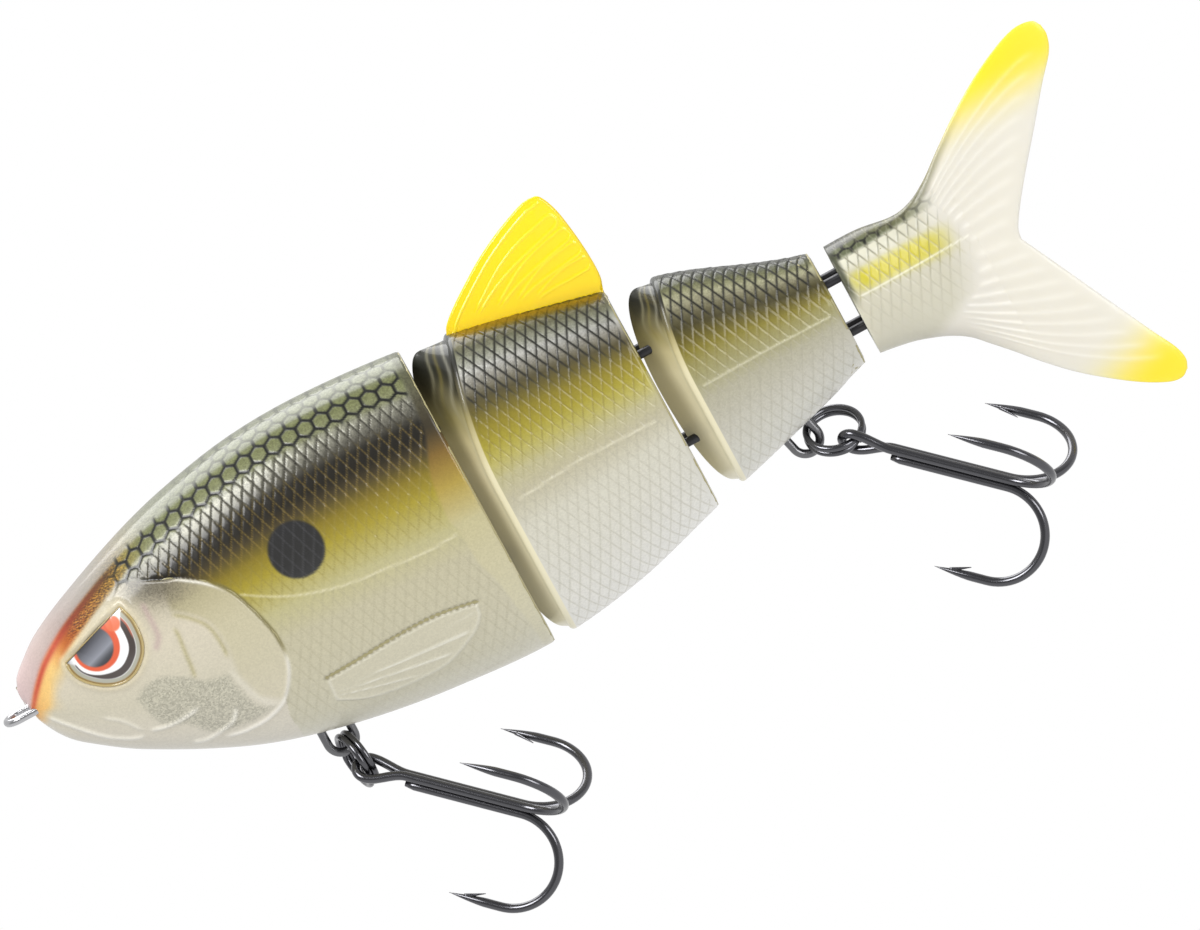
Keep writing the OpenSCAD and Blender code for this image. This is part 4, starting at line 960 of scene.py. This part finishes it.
milk = lay(milk, (236, 233, 224), ray * (1 - root) * (0.35 - 0.1 * tips))
lat_r, _ = near([(116.2, -3.1), (124, -3.4), (131.5, -3.7)], tail_d, tail_z)
milk = lay(milk, (60, 62, 46), ease(116.0, 115.2, tail_d) * ease(0.45, 0.7, relative) * 0.85)
milk = lay(milk, (240, 238, 226), bump(lat_r, 0.14) * 0.7)
soft = finish("soft plastic", None, Roughness=0.34, Coat_Weight=0.25, Coat_Roughness=0.15,
              Subsurface_Weight=0.35, Subsurface_Radius=(1.0, 0.95, 0.8), Subsurface_Scale=0.002)
p, f, c = two_sided(tail_d, tail_z, swell, milk)
# the flat front face: a fan of quads between the two sides' first columns
j = np.arange(len(k) - 1)
cap = np.stack([j, j + 1, tail_d.size + j + 1, tail_d.size + j], -1)
belongs(build("tail_moulding", p, np.concatenate([f, cap]), c), soft, "tail", "soft_tail", "tail_fin")

# ---- Split rings ----
# Two turns of round wire, pressed flat against each other, in black nickel.
nickel = finish("black nickel", (92, 92, 96), Metallic=1.0, Roughness=0.22, Coat_Weight=0.4)
RING_R, RING_WIRE, TURN_GAP = 3.55, 0.43, 0.4214
for word, middle, n, start in (
        ("front", (34.4502, -0.639, -25.3357), (0.969639, 0.239961, 0.047106), 200),
        ("rear", (106.532, -0.2201, -17.5993), (-0.161106, 0.536993, -0.82806), 70)):
    a = np.cross(n, (0, 0, 1.0))
    a /= np.linalg.norm(a)
    b = np.cross(n, a)
    w = np.radians(np.linspace(0, 716, 230))[:, None]
    climb = TURN_GAP * (2 * ease(-0.5, 0.5, (w - 2 * np.pi) / 0.9) - 1)
    w = w + math.radians(start)
    path = np.array(middle) + RING_R * (np.cos(w) * a + np.sin(w) * b) + climb * np.array(n)
    mesh_of(f"{word}_ring_coil", [tube(path, RING_WIRE, 14)], nickel, f"{word}_ring", "black_nickel_ring",
            f"{word}_split_ring")

# ---- Treble hooks ----
# Forged black nickel wire: a double hook whose eye is its own bent wire, and a single hook
# brazed in the groove between its shanks. Needle points with a raised barb.
HOOK_R, SHANK_R, BEND_R, BEND_X, POINT_X, EYE_R, EYE_X, NECK = 0.6, 0.72, 6.14, 22.36, 15.5, 1.6, 2.2, 5.0
hook_turn = np.array(Matrix.Rotation(math.radians(-24.2), 3, "Z")
                     @ Matrix.Rotation(math.radians(37.8), 3, "Y")
                     @ Matrix.Rotation(math.radians(-12.3), 3, "X"))


def off_shank(x, reach, a):
    """Points at x along the shank and reach away from it, at angle a round it."""
    out = np.array((0, math.sin(math.radians(a)), math.cos(math.radians(a))))
    return x[:, None] * np.array((1, 0, 0)) + (SHANK_R + reach)[:, None] * out


def prong(a):
    """Centre line and wire radius of one hook from its neck, round the bend, to its point."""
    w = np.linspace(0, np.pi, 40)
    q = [(x, 0.0) for x in np.linspace(EYE_X + NECK, BEND_X, 14)[:-1]]
    q += [(BEND_X + BEND_R * math.sin(i), BEND_R * (1 - math.cos(i))) for i in w]
    q += [(x, 2 * BEND_R - 0.1 * ((BEND_X - x) / 6.2) ** 2) for x in np.linspace(BEND_X, POINT_X, 26)[1:]]
    q = np.array(q)
    left = np.zeros(len(q))
    left[-26:] = np.linspace(0, 1, 26)
    sharp = np.clip(1 - (np.clip(left - 0.3, 0, 1) / 0.7) ** 1.4, 0.06, 1)
    return off_shank(q[:, 0], q[:, 1], a), HOOK_R * sharp


def barb(a):
    """A thin raised sliver on the inside of the point."""
    x = np.linspace(POINT_X + 2.0, POINT_X + 4.6, 10)
    lift = np.interp(x, [POINT_X + 2.0, POINT_X + 4.6], [0.2, 1.15])
    return off_shank(x, 2 * BEND_R - lift, a), np.linspace(0.3, 0.05, 10)


def leg(end, start):
    """Points that ease from the eye's end into a shank's start."""
    s = np.linspace(0, 1, 14)[1:-1]
    blend = ease(0, 1, s)[:, None]
    x = (end[0] + (start[0] - end[0]) * s)[:, None] * np.array((1, 0, 0))
    return x + (end * (0, 1, 1)) * (1 - blend) + (start * (0, 1, 1)) * blend


for word, hang, roll_eye, first in (("front", (33.6089, -3.04945, -25.0056), 43.0, -60),
                                    ("rear", (106.411, -2.09095, -18.1496), 133.0, 60)):
    side_way = np.array((0, math.cos(math.radians(roll_eye)), math.sin(math.radians(roll_eye))))
    bow = np.linspace(-np.pi / 2, np.pi / 2, 30)[:, None]
    eye_arc = (EYE_X - EYE_R * np.cos(bow)) * np.array((1, 0, 0)) + EYE_R * np.sin(bow) * side_way
    (pa, ra), (pb, rb), (pc, rc) = prong(first), prong(-first), prong(180)
    path = np.concatenate([pa[::-1], leg(eye_arc[0], pa[0])[::-1], eye_arc, leg(eye_arc[-1], pb[0]), pb])
    radii = np.concatenate([ra[::-1], np.full(12 + len(bow) + 12, HOOK_R), rb])
    rc[0] = HOOK_R * 0.6
    for part, wire, angles in (("double", (path, radii), (first, -first)), ("single", (pc, rc), (180,))):
        wires = [(*wire, 16)] + [(*barb(a), 10) for a in angles]
        wires = [tube(p @ hook_turn.T + np.array(hang), r, sides) for p, r, sides in wires]
        mesh_of(f"{word}_hook_{part}", wires, nickel, f"{word}_treble", "black_nickel_hook",
                f"{word}_treble_{part}")

# ---- CAD nodes' own finishes ----
# Wires, pins and weights keep the shapes of the frame. The shells under the skins show only
# at the joint faces, as olive translucent plastic.

olive = finish("joint plastic", (158, 150, 108), Roughness=0.4, Coat_Weight=0.3, Coat_Roughness=0.05)
pin_steel = finish("pin steel", (170, 170, 172), Roughness=0.25, Metallic=1.0)
bright = finish("bright wire", (196, 196, 198), Roughness=0.2, Metallic=1.0)
grey_wire = finish("hanger wire", (120, 120, 122), Roughness=0.28, Metallic=1.0)
dark_wire = finish("link wire", (74, 74, 76), Roughness=0.35, Metallic=1.0)
for name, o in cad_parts.items():
    o.data.materials.clear()
    o.data.materials.append(bright if name == "line_tie" else grey_wire if "hanger" in name
                            else dark_wire if "link" in name
                            else pin_steel if "pin" in name or "ballast" in name else olive)
